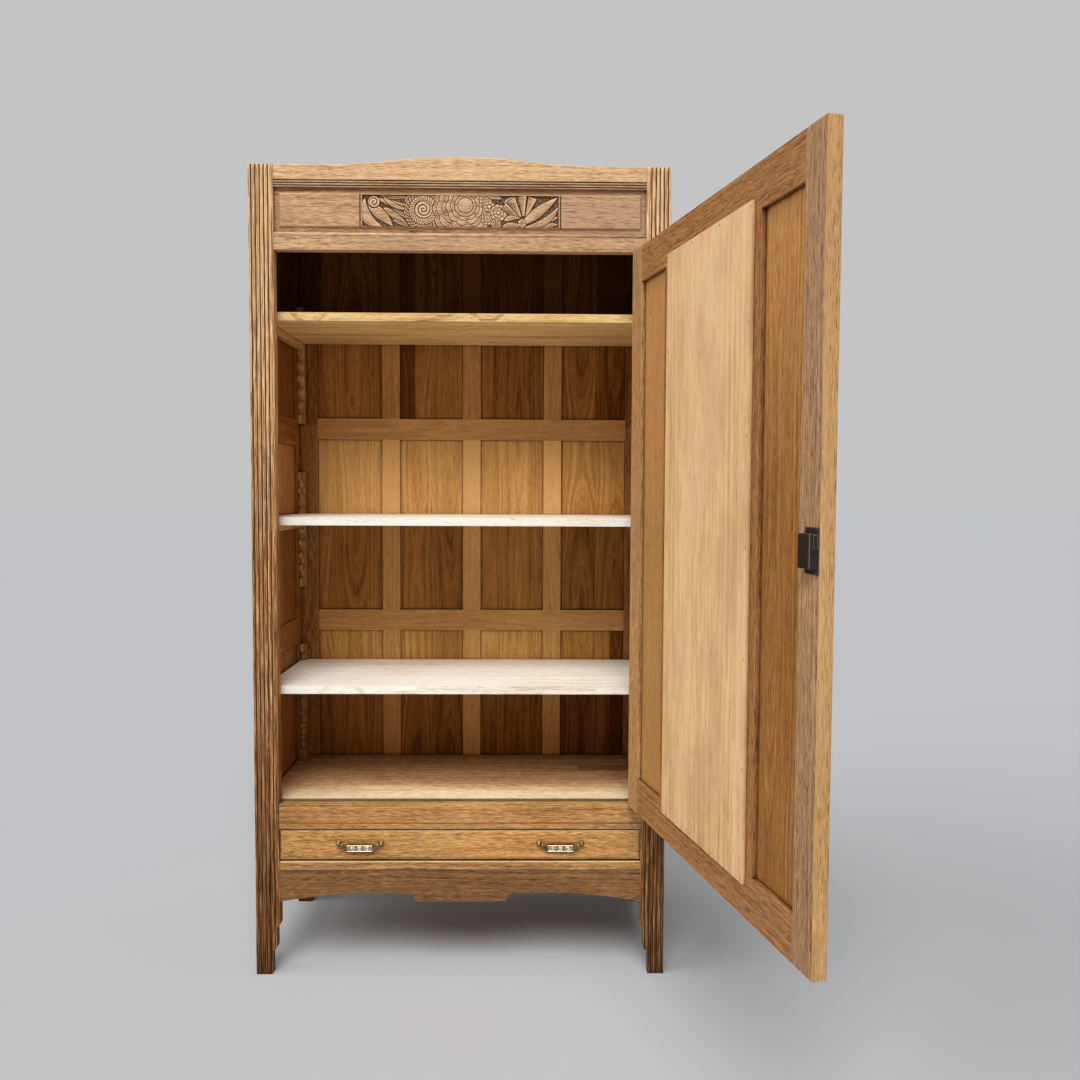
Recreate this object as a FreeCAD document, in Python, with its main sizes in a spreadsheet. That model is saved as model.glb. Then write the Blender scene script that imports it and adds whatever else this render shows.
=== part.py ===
"""Bonnetiere: a narrow one-door oak cupboard with a drawer, on four stepped feet.

Millimetres. +X is the cabinet's right as one faces it, +Y runs to the back and
+Z up. The origin is on the floor, in the middle of the carcass.
"""
import FreeCAD, Part
import math
import os
import re

import Sketcher

# ---------------------------------------------------------------- sizes

SIZES = {
    # carcass
    "cabinet_width": 1000.0,
    "cabinet_depth": 450.0,
    "post_height": 1955.0,
    "front_post_width": 58.5,
    "front_post_thickness": 27.0,
    "rear_post_width": 65.5,
    "rear_post_thickness": 24.0,
    "rail_setback": 1.5,
    # reeds down the front posts
    "reed_margin": 7.0,
    "reed_pitch": 9.9,
    "reed_gap": 2.4,
    "reed_depth": 2.4,
    "reed_crown": 0.7,
    # steps on the inner side of each foot
    "foot_width": 39.0,
    "ankle_width": 50.5,
    "foot_step_height": 58.0,
    "ankle_step_height": 118.0,
    # mortise and tenon of the front rails
    "tenon_thickness": 9.0,
    "tenon_length": 22.0,
    "rail_shoulder": 8.0,
    "strip_shoulder": 3.0,
    "mortise_play": 1.0,
    # arched top rail, frieze and the rail under it
    "arch_rise": 20.0,
    "arch_half": 330.0,
    "top_rail_height": 52.0,
    "frieze_height": 106.0,
    "frieze_rail_height": 41.0,
    "frieze_thickness": 12.0,
    "frieze_setback": 9.0,
    "frieze_groove": 6.0,
    "field_rise": 5.0,
    "field_margin": 11.0,
    "field_bevel": 5.0,
    "carving_half_width": 233.0,
    "carving_depth": 4.0,
    "incised_width": 3.0,
    "carving_margin": 5.0,
    "moulding_start": 2.0,
    "moulding_pitch": 6.0,
    # rails below the door
    "door_opening_bottom": 424.0,
    "front_rail_bottom": 377.5,
    "upper_rail_top": 376.5,
    "upper_rail_bottom": 361.0,
    "lower_rail_top": 282.0,
    "lower_rail_bottom": 260.5,
    "apron_top": 259.5,
    "apron_end_height": 181.0,
    "apron_drop_height": 181.5,
    "apron_arch_height": 200.0,
    "apron_drop_half": 105.0,
    "apron_shoulder_half": 122.0,
    "apron_sagitta": 10.5,
    # sides, each a frame of two stiles and four rails round three panels
    "side_thickness": 15.0,
    "side_stile_width": 50.0,
    "side_foot": 186.0,
    "side_base_top": 296.0,
    "side_low_rail_bottom": 756.0,
    "side_high_rail_bottom": 1310.0,
    "side_rail_height": 74.0,
    "side_top_rail_height": 90.0,
    "side_panel_thickness": 9.0,
    # back, a frame of rails and muntins round twelve panels
    "back_inset": 1.0,
    "back_thickness": 18.0,
    "back_muntin_width": 50.0,
    "back_muntin_pitch": 228.0,
    "back_foot": 250.0,
    "back_base_top": 428.0,
    "back_low_rail_bottom": 790.0,
    "back_high_rail_bottom": 1331.0,
    "back_rail_height": 59.0,
    "back_top_rail_height": 90.0,
    "back_panel_thickness": 8.0,
    # tongue and groove of every framed panel
    "groove_width": 5.0,
    "groove_depth": 8.0,
    "panel_play": 1.0,
    # boards
    "floor_top": 430.0,
    "floor_thickness": 18.0,
    "roof_drop": 23.0,
    "roof_thickness": 16.0,
    "board_play": 0.5,
    "bearer_width": 18.0,
    "bearer_height": 22.0,
    # notched racks, cleats and shelves
    "rack_width": 25.0,
    "rack_thickness": 18.0,
    "rack_length": 322.0,
    "rack_middle_base": 916.0,
    "rack_top_base": 1374.0,
    "notch_start": 24.0,
    "notch_pitch": 36.0,
    "notch_depth": 10.0,
    "notch_slope": 8.0,
    "cleat_height": 18.0,
    "cleat_play": 0.5,
    "shelf_thickness": 20.0,
    "shelf_setback": 36.0,
    "shelf_lock_setback": 48.0,
    "shelf_rear_gap": 7.0,
    "shelf_play": 4.0,
    "shelf_notch_play": 2.0,
    # door
    "door_thickness": 26.0,
    "door_open_angle": 103.4,
    "hinge_gap": 2.0,
    "lock_gap": 1.5,
    "door_top_gap": 4.0,
    "door_bottom_gap": 4.0,
    "door_stile_width": 64.0,
    "door_rail_height": 80.0,
    "door_muntin_width": 45.0,
    "door_muntin_offset": 149.0,
    "door_panel_thickness": 10.0,
    "door_panel_inset": 6.0,
    "door_groove_inset": 10.0,
    "door_field_bevel": 24.0,
    "door_field_rise": 4.0,
    # mirror in its rebate and the board that covers it inside
    "rebate_width": 9.0,
    "rebate_depth": 8.0,
    "mirror_thickness": 5.0,
    "mirror_play": 1.0,
    "mirror_bevel": 28.0,
    "mirror_bevel_depth": 1.5,
    "board_thickness": 5.0,
    "board_overlap": 20.0,
    "nail_thickness": 1.6,
    "nail_length": 16.0,
    "nail_head_width": 4.4,
    "nail_head_height": 0.8,
    "nail_head_bevel": 1.4,
    "nail_inset": 8.0,
    # barrel hinges
    "hinge_inset": 117.0,
    "hinge_standoff": 8.0,
    "barrel_radius": 6.5,
    "barrel_length": 38.0,
    "hinge_pin_radius": 3.0,
    "hinge_play": 0.06,
    "hinge_pin_depth": 30.0,
    "hinge_leaf_thickness": 1.5,
    "hinge_leaf_reach": 22.0,
    # box lock on the inner face of the lock stile
    "lock_plate_width": 43.0,
    "lock_plate_height": 72.0,
    "lock_plate_thickness": 1.5,
    "lock_centre_height": 1099.0,
    "lock_edge": 1.0,
    "lock_case_width": 39.0,
    "lock_case_height": 54.0,
    "lock_case_depth": 15.0,
    "lock_wall": 1.5,
    "lock_corner": 5.0,
    "bolt_height": 20.0,
    "bolt_thickness": 6.0,
    "bolt_length": 30.0,
    "bolt_travel": 12.0,
    "bolt_play": 0.4,
    "bolt_standoff": 1.2,
    "screw_radius": 1.6,
    "screw_length": 12.0,
    "screw_head_radius": 3.2,
    "screw_head_height": 1.2,
    "screw_inset": 5.0,
    "screw_margin": 3.5,
    "strike_height": 60.0,
    "strike_width": 16.0,
    "strike_thickness": 1.2,
    # keyhole, and the pin in the lock that a barrel key turns on
    "keyhole_drop": 10.0,
    "keyhole_radius": 3.8,
    "keyhole_slot_length": 10.0,
    "keyhole_slot_width": 3.6,
    "key_pin_radius": 1.5,
    "key_pin_length": 12.0,
    # drawer
    "drawer_side_gap": 1.0,
    "drawer_top_gap": 2.5,
    "drawer_bottom_gap": 4.0,
    "drawer_front_thickness": 22.0,
    "drawer_front_bevel": 7.0,
    "drawer_bevel_depth": 3.0,
    "drawer_side_thickness": 12.0,
    "drawer_side_height": 62.0,
    "drawer_side_inset": 1.5,
    "drawer_depth": 388.0,
    "drawer_bottom_thickness": 6.0,
    "drawer_bottom_rise": 6.0,
    "drawer_groove": 5.0,
    "drawer_lap": 7.0,
    "tail_height": 21.0,
    "tail_flare": 3.0,
    "tail_pitch": 27.0,
    "tail_start": 5.0,
    "runner_height": 22.0,
    "runner_play": 0.3,
    "kicker_height": 14.0,
    "kicker_play": 1.5,
    # drop handles
    "handle_offset": 244.6,
    "handle_height": 327.0,
    "handle_half_width": 57.0,
    "knob_radius": 4.6,
    "knob_crown": 1.6,
    "knob_neck_radius": 2.6,
    "knob_reach": 13.0,
    "rose_radius": 6.5,
    "rose_bevel": 1.0,
    "rose_height": 1.5,
    "bail_pin_radius": 1.5,
    "bail_pin_play": 0.06,
    "bail_pin_bite": 4.0,
    "bail_gap": 0.4,
    "bail_drop": 17.0,
    "bail_thickness": 4.4,
    "bail_arm": 6.2,
    "grip_half_width": 31.0,
    "grip_height": 16.0,
    "grip_corner": 2.0,
}

REED_GROOVES = 5
MOULDING_GROOVES = 3
NOTCHES = 8
LOW_SHELF_NOTCH = 6
MIDDLE_SHELF_NOTCH = 4
TOP_SHELF_NOTCH = 5
DRAWER_TAILS = 2
HINGES = 3
NAILS_ACROSS = 4
NAILS_UP = 7

# Places worked out from the sizes. Each formula uses names of SIZES or PLACES.
PLACES = {
    "half_width": "cabinet_width / 2",
    "half_depth": "cabinet_depth / 2",
    "front": "-half_depth",
    "post_back": "front + front_post_thickness",
    "rear_post_front": "half_depth - rear_post_thickness",
    "rail_front": "front + rail_setback",
    "opening_half": "half_width - front_post_width",
    "side_inner": "half_width - side_thickness",
    "back_front": "rear_post_front + back_inset",
    "back_rear": "back_front + back_thickness",
    "back_half": "half_width - rear_post_width",
    "rail_middle": "front + front_post_thickness / 2",
    # heights taken down from the top of the posts
    "frieze_top": "post_height - top_rail_height",
    "frieze_bottom": "frieze_top - frieze_height",
    "door_opening_top": "frieze_bottom - frieze_rail_height",
    "roof_top": "post_height - roof_drop",
    # frieze
    "frieze_front": "rail_front + frieze_setback",
    "frieze_rear": "frieze_front + frieze_thickness",
    "field_front": "frieze_front - field_rise",
    # floor, roof and shelves
    "floor_under": "floor_top - floor_thickness",
    "roof_under": "roof_top - roof_thickness",
    "rack_inner": "side_inner - rack_thickness",
    "front_rack_rear": "post_back + rack_width",
    "rear_rack_front": "rear_post_front - rack_width",
    # door, closed
    "door_hinge_edge": "opening_half - hinge_gap",
    "door_lock_edge": "-opening_half + lock_gap",
    "door_width": "door_hinge_edge - door_lock_edge",
    "door_inner": "front + door_thickness",
    "door_low": "door_opening_bottom + door_bottom_gap",
    "door_high": "door_opening_top - door_top_gap",
    "door_rail_low": "door_low + door_rail_height",
    "door_rail_high": "door_high - door_rail_height",
    "groove_front": "front + door_groove_inset",
    "groove_back": "groove_front + groove_width",
    "hinge_stile_edge": "door_hinge_edge - door_stile_width",
    "lock_stile_edge": "door_lock_edge + door_stile_width",
    "hinge_muntin_outer": "hinge_stile_edge - door_muntin_offset",
    "hinge_muntin_inner": "hinge_muntin_outer - door_muntin_width",
    "lock_muntin_outer": "lock_stile_edge + door_muntin_offset",
    "lock_muntin_inner": "lock_muntin_outer + door_muntin_width",
    "board_rear": "door_inner + board_thickness",
    # hinge axis, and the space between the three hinges
    "hinge_low": "door_low + hinge_inset",
    "hinge_spacing": "(door_high - door_low - 2 * hinge_inset) / 2",
    "hinge_x": "opening_half - hinge_leaf_thickness / 2",
    "hinge_y": "front - hinge_standoff",
    # lock
    "lock_plate_outer": "door_lock_edge + lock_edge",
    "lock_x": "lock_plate_outer + lock_plate_width / 2",
    "lock_plate_rear": "door_inner + lock_plate_thickness",
    "lock_case_rear": "lock_plate_rear + lock_case_depth",
    "lock_case_outer": "lock_x - lock_case_width / 2",
    "lock_case_inner": "lock_x + lock_case_width / 2",
    "lock_case_low": "lock_centre_height - lock_case_height / 2",
    "lock_case_high": "lock_centre_height + lock_case_height / 2",
    "bolt_high": "lock_case_high - lock_wall - bolt_play",
    "bolt_low": "bolt_high - bolt_height",
    "bolt_front": "lock_plate_rear + bolt_standoff",
    "bolt_rear": "bolt_front + bolt_thickness",
    "keyhole_z": "bolt_low - keyhole_drop",
    # drawer
    "drawer_low": "lower_rail_top + drawer_bottom_gap",
    "drawer_high": "upper_rail_bottom - drawer_top_gap",
    "drawer_half": "opening_half - drawer_side_gap",
    "drawer_box_half": "drawer_half - drawer_side_inset",
    "drawer_front_rear": "rail_front + drawer_front_thickness",
    "drawer_rear": "rail_front + drawer_depth",
    "drawer_bottom_z": "drawer_low + drawer_bottom_rise",
    # handles
    "bail_y": "rail_front - knob_reach + knob_radius",
    "knob_inner": "handle_half_width - 2 * knob_radius",
}

DOCUMENT = FreeCAD.newDocument("bonnetiere")
SHEET = DOCUMENT.addObject("Spreadsheet::Sheet", "Sizes")
for row, (alias, number) in enumerate(SIZES.items(), start=1):
    SHEET.set("A%d" % row, alias)
    SHEET.set("B%d" % row, str(number))
    SHEET.setAlias("B%d" % row, alias)
DOCUMENT.recompute()

NODES = []


# ---------------------------------------------------------------- formulas

def bound(formula):
    """Turn a formula in names of SIZES and PLACES into an expression on the sheet."""
    def swap(match):
        word = match.group(0)
        if word in PLACES:
            return "(" + bound(PLACES[word]) + ")"
        if word in SIZES:
            return "Sizes." + word
        return word
    return re.sub(r"[a-z_][a-z_0-9]*", swap, formula)


def value(formula):
    """Number that a formula gives with the sheet as it stands."""
    return float(SHEET.evalExpression(bound(formula)))


# ---------------------------------------------------------------- primitives

def box(low, high):
    """Part::Box between two corners, each three formulas."""
    solid = DOCUMENT.addObject("Part::Box", "Box")
    for length, axis, start, end in zip(("Length", "Width", "Height"), "xyz", low, high):
        solid.setExpression(length, bound("(%s) - (%s)" % (end, start)))
        solid.setExpression("Placement.Base." + axis, bound(start))
    return solid


TURNS = {
    "x": FreeCAD.Rotation(FreeCAD.Vector(0, 1, 0), 90),
    "y": FreeCAD.Rotation(FreeCAD.Vector(1, 0, 0), -90),
    "z": FreeCAD.Rotation(),
}


def place(solid, base, axis):
    """Turn a primitive's own Z along an axis and bind its base to three formulas."""
    solid.Placement = FreeCAD.Placement(FreeCAD.Vector(), TURNS[axis])
    for letter, formula in zip("xyz", base):
        solid.setExpression("Placement.Base." + letter, bound(formula))


def cylinder(base, axis, radius, length):
    """Part::Cylinder from a base point along +x, +y or +z."""
    solid = DOCUMENT.addObject("Part::Cylinder", "Cylinder")
    solid.setExpression("Radius", bound(radius))
    solid.setExpression("Height", bound(length))
    place(solid, base, axis)
    return solid


def cone(base, axis, radius_base, radius_end, length):
    """Part::Cone from a base point along +x, +y or +z."""
    solid = DOCUMENT.addObject("Part::Cone", "Cone")
    solid.setExpression("Radius1", bound(radius_base))
    solid.setExpression("Radius2", bound(radius_end))
    solid.setExpression("Height", bound(length))
    place(solid, base, axis)
    return solid


def octagon(base, axis, radius, length):
    """Part::Prism of eight sides from a base point along +x, +y or +z; the radius is to its corners."""
    solid = DOCUMENT.addObject("Part::Prism", "Octagon")
    solid.Polygon = 8
    solid.setExpression("Circumradius", bound(radius))
    solid.setExpression("Height", bound(length))
    place(solid, base, axis)
    return solid


def tapered(low, high, bevel_x, bevel_z, small):
    """Part::Wedge along Y between two corners, one of its faces smaller by the bevels.

    small says which face that is: "front" for the one at the lower Y, or "rear".
    """
    wedge = DOCUMENT.addObject("Part::Wedge", "Tapered")
    width = "(%s) - (%s)" % (high[0], low[0])
    height = "(%s) - (%s)" % (high[2], low[2])
    narrow = (bevel_x, "%s - (%s)" % (width, bevel_x), bevel_z, "%s - (%s)" % (height, bevel_z))
    wide = ("0", width, "0", height)
    near, far = (narrow, wide) if small == "front" else (wide, narrow)
    wedge.Xmax, wedge.Ymax, wedge.Zmax, wedge.X2max, wedge.Z2max = 100, 10, 100, 100, 100
    for name, formula in zip(("Xmin", "Xmax", "Zmin", "Zmax"), near):
        wedge.setExpression(name, bound(formula))
    for name, formula in zip(("X2min", "X2max", "Z2min", "Z2max"), far):
        wedge.setExpression(name, bound(formula))
    wedge.setExpression("Ymin", "0")
    wedge.setExpression("Ymax", bound("(%s) - (%s)" % (high[1], low[1])))
    for letter, formula in zip("xyz", low):
        wedge.setExpression("Placement.Base." + letter, bound(formula))
    return wedge


# ---------------------------------------------------------------- booleans

def gather(solids):
    """One tool shape for a cut: the solid itself, or a compound of several."""
    if len(solids) == 1:
        return solids[0]
    tools = DOCUMENT.addObject("Part::Compound", "Tools")
    tools.Links = solids
    return tools


def cut(base, tools):
    """Part::Cut of a base by a list of tools."""
    result = DOCUMENT.addObject("Part::Cut", "Cut")
    result.Base = base
    result.Tool = gather(tools)
    return result


def fuse(solids):
    """Part::MultiFuse of touching solids of one piece."""
    result = DOCUMENT.addObject("Part::MultiFuse", "Fusion")
    result.Shapes = solids
    result.Refine = True
    return result


def mirror_x(source):
    """Mirror image of a solid across the cabinet's middle plane."""
    image = DOCUMENT.addObject("Part::Mirroring", "Mirror")
    image.Source = source
    image.Normal = FreeCAD.Vector(1, 0, 0)
    return image


def node(label, solids):
    """Sub-part of its own label, made of one or more separate solids."""
    part = DOCUMENT.addObject("Part::Compound", "Node")
    part.Links = solids
    part.Label = label
    NODES.append(part)
    return part


# ---------------------------------------------------------------- sketched bodies

class Shape2D:
    """Closed outline for a sketch: corners as pairs of formulas, with arcs where asked."""

    def __init__(self, start):
        self.corners = [start]
        self.radii = []

    def line(self, corner):
        """Straight edge to the next corner."""
        self.corners.append(corner)
        self.radii.append(None)
        return self

    def arc(self, corner, radius, bulge):
        """Arc to the next corner, bulging to the "left" or "right" of the way there."""
        self.corners.append(corner)
        self.radii.append((radius, bulge))
        return self

    def arc_home(self, radius, bulge):
        """Arc back to the first corner, where a straight edge would close it otherwise."""
        self.radii.append((radius, bulge))
        return self


def new_body(name):
    """PartDesign::Body of its own."""
    return DOCUMENT.addObject("PartDesign::Body", name)


def new_sketch(body, plane, offset="0"):
    """Sketch on one of the body's origin planes, moved along that plane's normal."""
    sketch = body.newObject("Sketcher::SketchObject", "Outline")
    support = [item for item in body.Origin.OriginFeatures if item.Role == plane][0]
    sketch.AttachmentSupport = [(support, "")]
    sketch.MapMode = "FlatFace"
    sketch.setExpression("AttachmentOffset.Base.z", bound(offset))
    return sketch


def arc_geometry(start, end, radius, bulge):
    """Part.ArcOfCircle between two points, and whether it runs from start to end.

    An arc runs anticlockwise, so one that bulges to the right of its way has its
    centre on the left and runs from start to end, and the other runs back.
    """
    first, last = FreeCAD.Vector(*start, 0), FreeCAD.Vector(*end, 0)
    chord = last - first
    forward = bulge == "right"
    to_centre = FreeCAD.Vector(-chord.y, chord.x, 0) * (1 if forward else -1)
    to_centre.normalize()
    reach = max(radius * radius - chord.Length ** 2 / 4, 0) ** 0.5
    centre = (first + last) * 0.5 + to_centre * reach
    angles = [math.atan2(point.y - centre.y, point.x - centre.x) for point in (first, last)]
    begin, finish = angles if forward else angles[::-1]
    if finish < begin:
        finish += 2 * math.pi
    circle = Part.Circle(centre, FreeCAD.Vector(0, 0, 1), radius)
    return Part.ArcOfCircle(circle, begin, finish), forward


def draw(sketch, outline, closed=True):
    """Put an outline into a sketch, each corner and radius bound to the sheet."""
    corners = outline.corners
    points = [(value(across), value(up)) for across, up in corners]
    radii = list(outline.radii)
    if closed and len(radii) < len(corners):
        radii.append(None)
    ends = []
    for index, radius in enumerate(radii):
        start, end = points[index], points[(index + 1) % len(points)]
        if radius is None:
            segment = Part.LineSegment(FreeCAD.Vector(*start, 0), FreeCAD.Vector(*end, 0))
            forward = True
        else:
            segment, forward = arc_geometry(start, end, value(radius[0]), radius[1])
        edge = sketch.addGeometry(segment, False)
        ends.append((edge, 1, 2) if forward else (edge, 2, 1))
    for index, (edge, first, _) in enumerate(ends):
        if index or closed:
            before, _, last = ends[index - 1]
            sketch.addConstraint(Sketcher.Constraint("Coincident", before, last, edge, first))
    fixed_ends = [(edge, first) for edge, first, _ in ends]
    if not closed:
        fixed_ends.append((ends[-1][0], ends[-1][2]))
    for (edge, end), point, corner in zip(fixed_ends, points, corners):
        for kind, number, formula in zip(("DistanceX", "DistanceY"), point, corner):
            fixed = sketch.addConstraint(Sketcher.Constraint(kind, edge, end, number))
            sketch.setExpression("Constraints[%d]" % fixed, bound(formula))
    for (edge, _, _), radius in zip(ends, radii):
        if radius is not None:
            fixed = sketch.addConstraint(Sketcher.Constraint("Radius", edge, value(radius[0])))
            sketch.setExpression("Constraints[%d]" % fixed, bound(radius[0]))


def pad(body, sketch, length, backwards=False):
    """Pad a sketch by a formula, along its plane's normal or against it."""
    feature = body.newObject("PartDesign::Pad", "Pad")
    feature.Profile = sketch
    feature.setExpression("Length", bound(length))
    feature.Reversed = backwards
    return feature


def pocket(body, sketch):
    """Cut a sketch through the whole body, both ways."""
    feature = body.newObject("PartDesign::Pocket", "Pocket")
    feature.Profile = sketch
    feature.Type = "ThroughAll"
    feature.Midplane = True
    return feature


# ---------------------------------------------------------------- joints of the frame

FRONT_RAILS = {
    "top_rail": ("frieze_top", "post_height", "rail_shoulder"),
    "frieze_lower_rail": ("door_opening_top", "frieze_bottom", "rail_shoulder"),
    "front_rail": ("front_rail_bottom", "door_opening_bottom", "rail_shoulder"),
    "upper_drawer_rail": ("upper_rail_bottom", "upper_rail_top", "strip_shoulder"),
    "lower_drawer_rail": ("lower_rail_bottom", "lower_rail_top", "strip_shoulder"),
    "apron": ("apron_arch_height", "apron_top", "rail_shoulder"),
}


def tenon(rail, side, play="0"):
    """Stub of a front rail inside a post, or with some play the mortise for it."""
    low, high, shoulder = FRONT_RAILS[rail]
    inner, outer = "opening_half", "opening_half + tenon_length + (%s)" % play
    across = (inner, outer) if side > 0 else ("-(%s)" % outer, "-(%s)" % inner)
    return box((across[0], "rail_middle - tenon_thickness / 2", "%s + %s" % (low, shoulder)),
               (across[1], "rail_middle + tenon_thickness / 2", "%s - %s" % (high, shoulder)))


def tenoned(rail, body):
    """A front rail with a tenon at each end."""
    return fuse([body, tenon(rail, -1), tenon(rail, 1)])


# ---------------------------------------------------------------- posts

def reeded_section():
    """Section of the left front post: a plank whose front is six reeds."""
    back = "post_back"
    outline = Shape2D(("-half_width", back))
    edges = ["0"]
    for groove in range(REED_GROOVES):
        centre = "reed_margin + %d * reed_pitch" % groove
        edges += ["%s - reed_gap / 2" % centre, "%s + reed_gap / 2" % centre]
    edges.append("front_post_width")
    shoulder = "front + reed_crown"
    for reed in range(REED_GROOVES + 1):
        start, end = edges[2 * reed], edges[2 * reed + 1]
        outline.line(("-half_width + %s" % start, shoulder))
        half = "((%s) - (%s)) / 2" % (end, start)
        radius = "((%s)^2 + reed_crown^2) / (2 * reed_crown)" % half
        outline.arc(("-half_width + %s" % end, shoulder), radius, "right")
        if reed < REED_GROOVES:
            outline.line(("-half_width + %s" % end, "front + reed_depth"))
            outline.line(("-half_width + %s" % edges[2 * reed + 2], "front + reed_depth"))
    outline.line(("-opening_half", back))
    return outline


def foot_steps(width):
    """Outline of what is cut off the inner side of a foot, from the full width inwards."""
    ankle_round = "(%s) - ankle_width" % width
    foot_round = "ankle_width - foot_width"
    outline = Shape2D(("-half_width + foot_width", "-foot_width"))
    outline.line(("-half_width + foot_width", "foot_step_height"))
    outline.arc(("-half_width + ankle_width", "foot_step_height + " + foot_round), foot_round, "right")
    outline.line(("-half_width + ankle_width", "ankle_step_height"))
    outline.arc(("-half_width + (%s)" % width, "ankle_step_height + " + ankle_round), ankle_round, "right")
    outline.line(("-half_width + (%s) + foot_width" % width, "ankle_step_height + " + ankle_round))
    outline.line(("-half_width + (%s) + foot_width" % width, "-foot_width"))
    return outline


def front_post():
    """Left front post with its reeds, foot steps, mortises and frieze groove."""
    body = new_body("FrontPost")
    section = new_sketch(body, "XY_Plane")
    draw(section, reeded_section())
    pad(body, section, "post_height")
    steps = new_sketch(body, "XZ_Plane")
    draw(steps, foot_steps("front_post_width"))
    pocket(body, steps)
    mortises = [tenon(rail, -1, "mortise_play") for rail in FRONT_RAILS]
    groove = box(("-opening_half - frieze_groove", "frieze_front", "frieze_bottom - frieze_groove"),
                 ("-opening_half", "frieze_rear", "frieze_top + frieze_groove"))
    return cut(body, mortises + [groove])


def rear_post():
    """Left rear post, plain, stepped at the foot like the front one, grooved for the back."""
    body = new_body("RearPost")
    section = new_sketch(body, "XY_Plane")
    outline = Shape2D(("-half_width", "rear_post_front"))
    outline.line(("-back_half", "rear_post_front"))
    outline.line(("-back_half", "half_depth"))
    outline.line(("-half_width", "half_depth"))
    draw(section, outline)
    pad(body, section, "post_height")
    steps = new_sketch(body, "XZ_Plane")
    draw(steps, foot_steps("rear_post_width"))
    pocket(body, steps)
    middle = "(back_front + back_rear) / 2"
    groove = box(("-back_half - groove_depth", middle + " - groove_width / 2", "back_foot"),
                 ("-back_half", middle + " + groove_width / 2", "post_height"))
    return cut(body, [groove])


left_front = front_post()
node("left_front_post", [left_front])
node("right_front_post", [mirror_x(left_front)])
left_rear = rear_post()
node("left_rear_post", [left_rear])
node("right_rear_post", [mirror_x(left_rear)])


# ---------------------------------------------------------------- front rails

def top_rail():
    """Arched rail: a shallow bell of three arcs between level ends, with three reeds at its foot."""
    body = new_body("TopRail")
    face = new_sketch(body, "XZ_Plane", "-(rail_front)")
    sweep = "((arch_half / 2)^2 + (arch_rise / 2)^2) / arch_rise"
    outline = Shape2D(("-opening_half", "frieze_top"))
    outline.line(("opening_half", "frieze_top"))
    outline.line(("opening_half", "post_height"))
    outline.line(("arch_half", "post_height"))
    outline.arc(("arch_half / 2", "post_height + arch_rise / 2"), sweep, "left")
    outline.arc(("-arch_half / 2", "post_height + arch_rise / 2"), sweep, "right")
    outline.arc(("-arch_half", "post_height"), sweep, "left")
    outline.line(("-opening_half", "post_height"))
    draw(face, outline)
    pad(body, face, "post_back - rail_front", backwards=True)
    grooves = []
    for groove in range(MOULDING_GROOVES):
        low = "frieze_top + moulding_start + %d * moulding_pitch" % groove
        grooves.append(box(("-opening_half", "rail_front", low),
                           ("opening_half", "rail_front + reed_depth", low + " + reed_gap")))
    panel = box(("-opening_half", "frieze_front", "frieze_top"),
                ("opening_half", "frieze_rear", "frieze_top + frieze_groove"))
    return cut(tenoned("top_rail", body), grooves + [panel])


def frieze_panel():
    """Board with a bevelled raised field, its middle length sunk for the carving."""
    play = "panel_play"
    edge = "opening_half + frieze_groove - " + play
    board = box(("-(%s)" % edge, "frieze_front", "frieze_bottom - frieze_groove + " + play),
                (edge, "frieze_rear", "frieze_top + frieze_groove - " + play))
    field_low = ("-opening_half + field_margin", "field_front", "frieze_bottom + field_margin")
    field_high = ("opening_half - field_margin", "frieze_front", "frieze_top - field_margin")
    field = tapered(field_low, field_high, "field_bevel", "field_bevel", "front")
    ground = box(("-carving_half_width", "field_front", "frieze_bottom + field_margin + carving_margin"),
                 ("carving_half_width", "field_front + carving_depth",
                  "frieze_top - field_margin - carving_margin"))
    lines = []
    for side in ("-carving_half_width - 2 * incised_width", "carving_half_width + incised_width"):
        lines.append(box((side, "field_front", "frieze_bottom + field_margin + carving_margin"),
                         (side + " + incised_width", "field_front + incised_width / 2",
                          "frieze_top - field_margin - carving_margin")))
    return cut(fuse([board, field]), [ground] + lines)


def plain_rail(name):
    """Square rail between the front posts."""
    low, high, _ = FRONT_RAILS[name]
    bar = box(("-opening_half", "rail_front", low), ("opening_half", "post_back", high))
    return tenoned(name, bar)


def apron():
    """Lowest rail: two shallow arches either side of a middle drop with small ogee ends."""
    body = new_body("Apron")
    face = new_sketch(body, "XZ_Plane", "-(rail_front)")
    middle = "(apron_shoulder_half + apron_drop_half) / 2"
    waist = "(apron_arch_height + apron_drop_height) / 2"
    step_across = "(apron_shoulder_half - apron_drop_half) / 2"
    step_up = "(apron_arch_height - apron_drop_height) / 2"
    ogee = "((%s)^2 + (%s)^2) / (2 * %s)" % (step_across, step_up, step_across)
    chord = ("((opening_half - apron_shoulder_half)^2"
             " + (apron_arch_height - apron_end_height)^2) / 4")
    arch = "(%s + apron_sagitta^2) / (2 * apron_sagitta)" % chord
    outline = Shape2D(("-opening_half", "apron_end_height"))
    outline.arc(("-apron_shoulder_half", "apron_arch_height"), arch, "left")
    outline.arc(("-(%s)" % middle, waist), ogee, "left")
    outline.arc(("-apron_drop_half", "apron_drop_height"), ogee, "right")
    outline.line(("apron_drop_half", "apron_drop_height"))
    outline.arc((middle, waist), ogee, "right")
    outline.arc(("apron_shoulder_half", "apron_arch_height"), ogee, "left")
    outline.arc(("opening_half", "apron_end_height"), arch, "left")
    outline.line(("opening_half", "apron_top"))
    outline.line(("-opening_half", "apron_top"))
    draw(face, outline)
    pad(body, face, "post_back - rail_front", backwards=True)
    return tenoned("apron", body)


def frieze_lower_rail():
    """Rail over the door, grooved on top for the frieze panel."""
    groove = box(("-opening_half", "frieze_front", "frieze_bottom - frieze_groove"),
                 ("opening_half", "frieze_rear", "frieze_bottom"))
    return cut(plain_rail("frieze_lower_rail"), [groove])


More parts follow.
